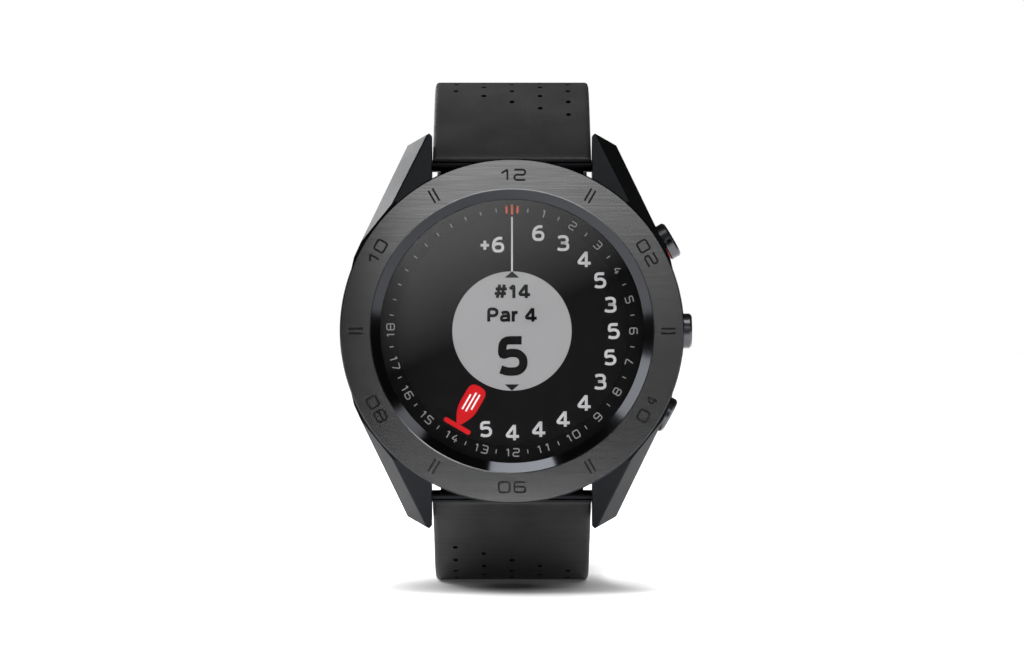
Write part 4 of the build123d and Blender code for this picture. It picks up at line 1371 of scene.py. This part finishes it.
class WATCH_OT_strap(bpy.types.Operator):
    """Cut, punch and round the leather and lining of both strap halves"""

    bl_idname = "watch.strap"
    bl_label = "Strap halves"

    def execute(self, context):
        strap = context.scene.watch_strap
        leather = smooth_leather(strap)
        edge = painted_edge()
        lining = nubuck_lining(strap)
        for half in SIDES:
            self.cut_leather(half, strap, [leather, edge])
            self.cut_lining(half, strap, [lining, edge])
        return {"FINISHED"}

    def cut_leather(self, half, strap, materials):
        """The outer leather with its decorative holes."""
        start = layer_start(LEATHER_TOP)
        end = strap_length(half)
        square = strap.hole_pitch / 4
        grid = strap.first_hole - 2 * square
        before = int((grid - start - 0.7 * MM) / square)
        lines = [start + share * MM for share in (0, 0.08, 0.22, 0.45)]
        lines += [grid + square * index for index in range(-before, 1)]
        while lines[-1] < strap.last_hole + 2 * strap.hole_pitch:
            lines.append(lines[-1] + square)
        if half == "upper":
            lines += ruled(lines[-1], end - SLOT_LENGTH, 1.2 * MM)[1:]
            lines += ruled(end - SLOT_LENGTH, end, 0.8 * MM)[1:]
        else:
            while lines[-1] > tang_holes()[0] - 2.2 * MM:
                lines.pop()
            lines += tail_lines(lines[-1])
        across = across_lines(strap)
        holes = []
        for column in range(-2, 3):
            row = strap.first_hole + (2 - column * SIDES[half]) * strap.hole_pitch / 2
            while row < strap.last_hole:
                left = nearest(across, (column - 0.5) * strap.column_pitch)
                holes.append((left, nearest(lines, row - 2 * square), strap.hole_radius))
                row += strap.hole_pitch
        holes += self.punched_tail(half, across, lines)

        def left_out(aside, along):
            return half == "upper" and along > end - SLOT_LENGTH - SPLIT_GAP and abs(
                sum(aside)
            ) < SLOT_WIDTH

        mesh = strap_layer(
            half, strap, lines, holes, left_out, (LEATHER_TOP, LAYER_SPLIT),
            (start, layer_start(LAYER_SPLIT)), LEATHER_TOP,
        )
        name = "leather_" + half
        add_piece("strap_" + name, mesh, materials, "strap_" + half, [name])

    def cut_lining(self, half, strap, materials):
        """The lining, notched for the release end."""
        start = layer_start(LAYER_SPLIT - SPLIT_GAP)
        lines = ruled(start, POCKET_LENGTH, 0.9 * MM)
        if half == "upper":
            stop = strap_length(half) - LINING_STOP
            slot = strap_length(half) - SLOT_LENGTH
            lines += ruled(POCKET_LENGTH, slot, 1.5 * MM)[1:]
            lines += ruled(slot, stop, 0.9 * MM)[1:]
        else:
            lines += ruled(POCKET_LENGTH, tang_holes()[0] - 3 * MM, 1.5 * MM)[1:]
            lines += tail_lines(lines[-1])
        across = across_lines(strap)
        slot_from = strap_length(half) - SLOT_LENGTH - SPLIT_GAP

        def left_out(aside, along):
            over_tray = abs(sum(aside)) / 2 < POCKET_HALF_WIDTH and along < POCKET_LENGTH - SPLIT_GAP
            in_slot = half == "upper" and along > slot_from and abs(sum(aside)) < SLOT_WIDTH
            return over_tray or in_slot

        mesh = strap_layer(
            half, strap, lines, self.punched_tail(half, across, lines), left_out,
            (LAYER_SPLIT - SPLIT_GAP, LINING_BACK), (start, layer_start(LINING_BACK)), LINING_BACK,
        )
        name = "lining_" + half
        add_piece("strap_" + name, mesh, materials, "strap_" + half, [name])

    def punched_tail(self, half, across, lines):
        """The tang's holes in the lower half."""
        if half == "upper":
            return []
        left = nearest(across, across[len(across) // 2 - 2])
        return [(left, nearest(lines, hole - TANG_SQUARE), TANG_HOLE_RADIUS) for hole in tang_holes()]


class WATCH_OT_buckle(bpy.types.Operator):
    """Finish the buckle and wrap the leather's two loops round its bar"""

    bl_idname = "watch.buckle"
    bl_label = "Buckle"

    def execute(self, context):
        dress(dark_buckle_steel(), "buckle_frame", "tang")
        dress(drawn_steel(), "buckle_bar")
        strap = context.scene.watch_strap
        mesh = bmesh.new()
        outer = strap_half_width(BUCKLE.y)
        for side in (-1, 1):
            section = rounded_line(
                [
                    (LOOP_BORE, LOOP_INNER), (LOOP_RADIUS, LOOP_INNER), (LOOP_RADIUS, outer),
                    (LOOP_BORE, outer),
                ],
                0.3 * MM, True,
            )
            rows = []
            for step in range(LOOP_STEPS):
                angle = 2 * pi * step / LOOP_STEPS
                rows.append(
                    [
                        mesh.verts.new(
                            (
                                side * spot.y, BUCKLE.y + spot.x * sin(angle),
                                BUCKLE.z + spot.x * cos(angle),
                            )
                        ) for spot in section
                    ]
                )
            join_rows(mesh, rows, True)
        add_piece(
            "buckle_loops", mesh, [smooth_leather(strap)], "strap_upper",
            ["leather_upper"],
        )
        return {"FINISHED"}


class WATCH_OT_keepers(bpy.types.Operator):
    """Form the two leather loops that hold the tail"""

    bl_idname = "watch.keepers"
    bl_label = "Keepers"

    def execute(self, context):
        strap = context.scene.watch_strap
        leather = smooth_leather(strap)
        bodies = {"keeper_fixed": "strap_upper", "keeper_free": "keeper_free"}
        for name, (from_bar, slack) in KEEPERS.items():
            low = LINING_BACK - slack
            high = LEATHER_TOP + KEEPER_ROOM
            place = strap_length("upper") - from_bar
            end_y = strap_point("upper", 0, place, 0).y
            half_width = strap_half_width(end_y) + KEEPER_GAP
            mesh = bmesh.new()
            outline = rounded_line(
                [
                    (-half_width - KEEPER_WALL, low - KEEPER_WALL),
                    (half_width + KEEPER_WALL, low - KEEPER_WALL),
                    (half_width + KEEPER_WALL, high + KEEPER_WALL),
                    (-half_width - KEEPER_WALL, high + KEEPER_WALL),
                ],
                KEEPER_CORNER, True,
            )
            middle = Vector((0, (low + high) / 2))
            section = rounded_line(
                [(0, 0), (KEEPER_WALL, 0), (KEEPER_WALL, KEEPER_LENGTH), (0, KEEPER_LENGTH)],
                KEEPER_EDGE, True,
            )
            rows = []
            for index, spot in enumerate(outline):
                run = (outline[(index + 1) % len(outline)] - outline[index - 1]).normalized()
                inward = Vector((-run.y, run.x))
                if inward.dot(middle - spot) < 0:
                    inward = -inward
                row = []
                for depth, ahead in section:
                    at = spot + inward * depth
                    base = strap_point("upper", 0, place - ahead, at.y)
                    row.append(mesh.verts.new((at.x, base.y, base.z)))
                rows.append(row)
            join_rows(mesh, rows, True)
            add_piece(name + "_loop", mesh, [leather], bodies[name], [name])
        return {"FINISHED"}


class WATCH_OT_studio(bpy.types.Operator):
    """Set the camera, the floor and the soft lights"""

    bl_idname = "watch.studio"
    bl_label = "Studio"

    def execute(self, context):
        studio = context.scene.watch_studio
        scene = context.scene
        scene.view_settings.view_transform = "Standard"
        camera_data = bpy.data.cameras.new("camera")
        camera_data.lens = studio.lens
        camera_data.sensor_width = 36
        camera_data.clip_start = 0.01
        camera = bpy.data.objects.new("camera", camera_data)
        camera.location = (0, -studio.distance, 0)
        camera.rotation_euler = (pi / 2, 0, 0)
        scene.collection.objects.link(camera)
        scene.camera = camera
        self.light_world(scene)
        floor = self.lay_floor(scene)
        self.hang_card(scene, studio)
        self.hang_box(scene, "top_box", -5, 66, (0.2, 0.12), studio.top_glow)
        self.hang_box(scene, "left_box", -65, 66, (0.16, 0.2), studio.side_glow)
        self.hang_box(scene, "right_box", 48, 70, (0.06, 0.1), studio.side_glow / 2)
        self.hang_box(scene, "back_box", -53, 128, (0.2, 0.2), studio.back_glow)
        self.hang_box(scene, "upper_strip", 40, 33, (0.36, 0.06), studio.strip_glow)
        self.hang_ceiling(scene, studio.ceiling, floor)
        return {"FINISHED"}

    def light_world(self, scene):
        """White to the eye, and dim to everything that mirrors it."""
        world = bpy.data.worlds.new("studio")
        scene.world = world
        world.use_nodes = True
        tree = world.node_tree
        tree.nodes.clear()
        seen = add_node(tree, "ShaderNodeLightPath")
        brightness = add_node(
            tree, "ShaderNodeMapRange", {"To Min": 0.06, "To Max": 1.0},
            {"Value": seen.outputs["Is Camera Ray"]},
        )
        sky = add_node(
            tree, "ShaderNodeBackground", {"Color": (1, 1, 1, 1)}, {"Strength": brightness.outputs[0]}
        )
        add_node(tree, "ShaderNodeOutputWorld", links={"Surface": sky.outputs[0]})

    def lay_floor(self, scene):
        """A wide sheet of seamless paper under the watch."""
        lowest = CAD_BOX[0][2]
        paper = surface(
            "white_seamless_paper", {"Emission Color": (1, 1, 1, 1), "Roughness": 0.85, "IOR": 1.4},
            graded_paper,
        )
        return self.lay_sheet(scene, "floor", [(x, y, lowest) for x, y in FLOOR_CORNERS], paper)

    def lay_sheet(self, scene, name, corners, material):
        """A flat sheet of the studio, which is no piece of the watch."""
        mesh = bmesh.new()
        mesh.faces.new([mesh.verts.new(corner) for corner in corners])
        data = bpy.data.meshes.new(name)
        mesh.to_mesh(data)
        mesh.free()
        data.materials.append(material)
        sheet = bpy.data.objects.new(name, data)
        scene.collection.objects.link(sheet)
        return sheet

    def hang_card(self, scene, studio):
        """A large card behind the camera, bright at its upper left and fading across the axis."""
        material = bpy.data.materials.new("graded_card")
        material.use_nodes = True
        tree = material.node_tree
        tree.nodes.clear()
        place = add_node(tree, "ShaderNodeTexCoord").outputs["Object"]
        slant = add_node(
            tree, "ShaderNodeVectorMath", {"operation": "DOT_PRODUCT", 1: (-0.4, 0, 0.9)}, {0: place}
        )
        glow = add_node(
            tree, "ShaderNodeMapRange",
            {"From Min": 0.002, "From Max": 0.045, "To Min": 0.02, "To Max": studio.card_glow},
            {"Value": slant.outputs["Value"]},
        )
        aside = add_node(tree, "ShaderNodeSeparateXYZ", links={"Vector": place})
        shaded = add_node(
            tree, "ShaderNodeMapRange", {"From Min": -0.038, "From Max": -0.026},
            {"Value": aside.outputs["X"]},
        )
        strength = add_node(
            tree, "ShaderNodeMath", {"operation": "MULTIPLY"},
            {0: glow.outputs[0], 1: shaded.outputs[0]},
        )
        light = add_node(tree, "ShaderNodeEmission", links={"Strength": strength.outputs[0]})
        add_node(tree, "ShaderNodeOutputMaterial", links={"Surface": light.outputs[0]})
        depth = -studio.distance - CARD_BEHIND_CAMERA
        card = self.lay_sheet(scene, "card", [(x, depth, z) for x, z in CARD_CORNERS], material)
        card.visible_camera = False
        card.visible_shadow = False

    def hang_ceiling(self, scene, strength, floor):
        """A wide light straight above, for the floor alone and the soft shadow under the strap."""
        data = bpy.data.lights.new("ceiling", "SUN")
        data.energy = strength
        data.angle = radians(100)
        ceiling = bpy.data.objects.new("ceiling", data)
        ceiling.visible_camera = False
        scene.collection.objects.link(ceiling)
        lit = bpy.data.collections.new("lit_by_ceiling")
        lit.objects.link(floor)
        ceiling.light_linking.receiver_collection = lit

    def hang_box(self, scene, name, clock, off_axis, size, glow):
        """A soft box at a clock angle and an angle off the dial's axis, aimed at the watch."""
        out = Vector((sin(radians(clock)), 0, cos(radians(clock))))
        direction = out * sin(radians(off_axis)) + Vector((0, -cos(radians(off_axis)), 0))
        data = bpy.data.lights.new(name, "AREA")
        data.shape = "RECTANGLE"
        data.size, data.size_y = size
        data.energy = glow * size[0] * size[1] * pi
        box = bpy.data.objects.new(name, data)
        aim = direction.to_track_quat("Z", "Y").to_matrix().to_4x4()
        box.matrix_world = Matrix.Translation(direction * BOX_DISTANCE) @ aim
        box.visible_camera = False
        scene.collection.objects.link(box)


class WATCH_PT_panel(bpy.types.Panel):
    """List the steps that finish the watch."""

    bl_idname = "WATCH_PT_panel"
    bl_label = "Golf watch"
    bl_space_type = "VIEW_3D"
    bl_region_type = "UI"
    bl_category = "Golf watch"

    def draw(self, context):
        for step in STEPS:
            self.layout.operator(step.bl_idname)


STEPS = (
    WATCH_OT_case, WATCH_OT_bezel, WATCH_OT_glass, WATCH_OT_number_ring, WATCH_OT_display,
    WATCH_OT_buttons, WATCH_OT_inside, WATCH_OT_release_ends, WATCH_OT_strap, WATCH_OT_buckle,
    WATCH_OT_keepers, WATCH_OT_studio,
)
GROUPS = {
    "watch_dial": DialSettings, "watch_metal": MetalSettings, "watch_strap": StrapSettings,
    "watch_studio": StudioSettings,
}


def register():
    for group in GROUPS.values():
        bpy.utils.register_class(group)
    for step in (*STEPS, WATCH_PT_panel):
        bpy.utils.register_class(step)
    for name, group in GROUPS.items():
        setattr(bpy.types.Scene, name, bpy.props.PointerProperty(type=group))


def unregister():
    for name in GROUPS:
        delattr(bpy.types.Scene, name)
    for step in (WATCH_PT_panel, *reversed(STEPS)):
        bpy.utils.unregister_class(step)
    for group in reversed(list(GROUPS.values())):
        bpy.utils.unregister_class(group)


def main():
    register()
    for step in STEPS:
        group, name = step.bl_idname.split(".")
        getattr(getattr(bpy.ops, group), name)()


if __name__ == "__main__":
    main()
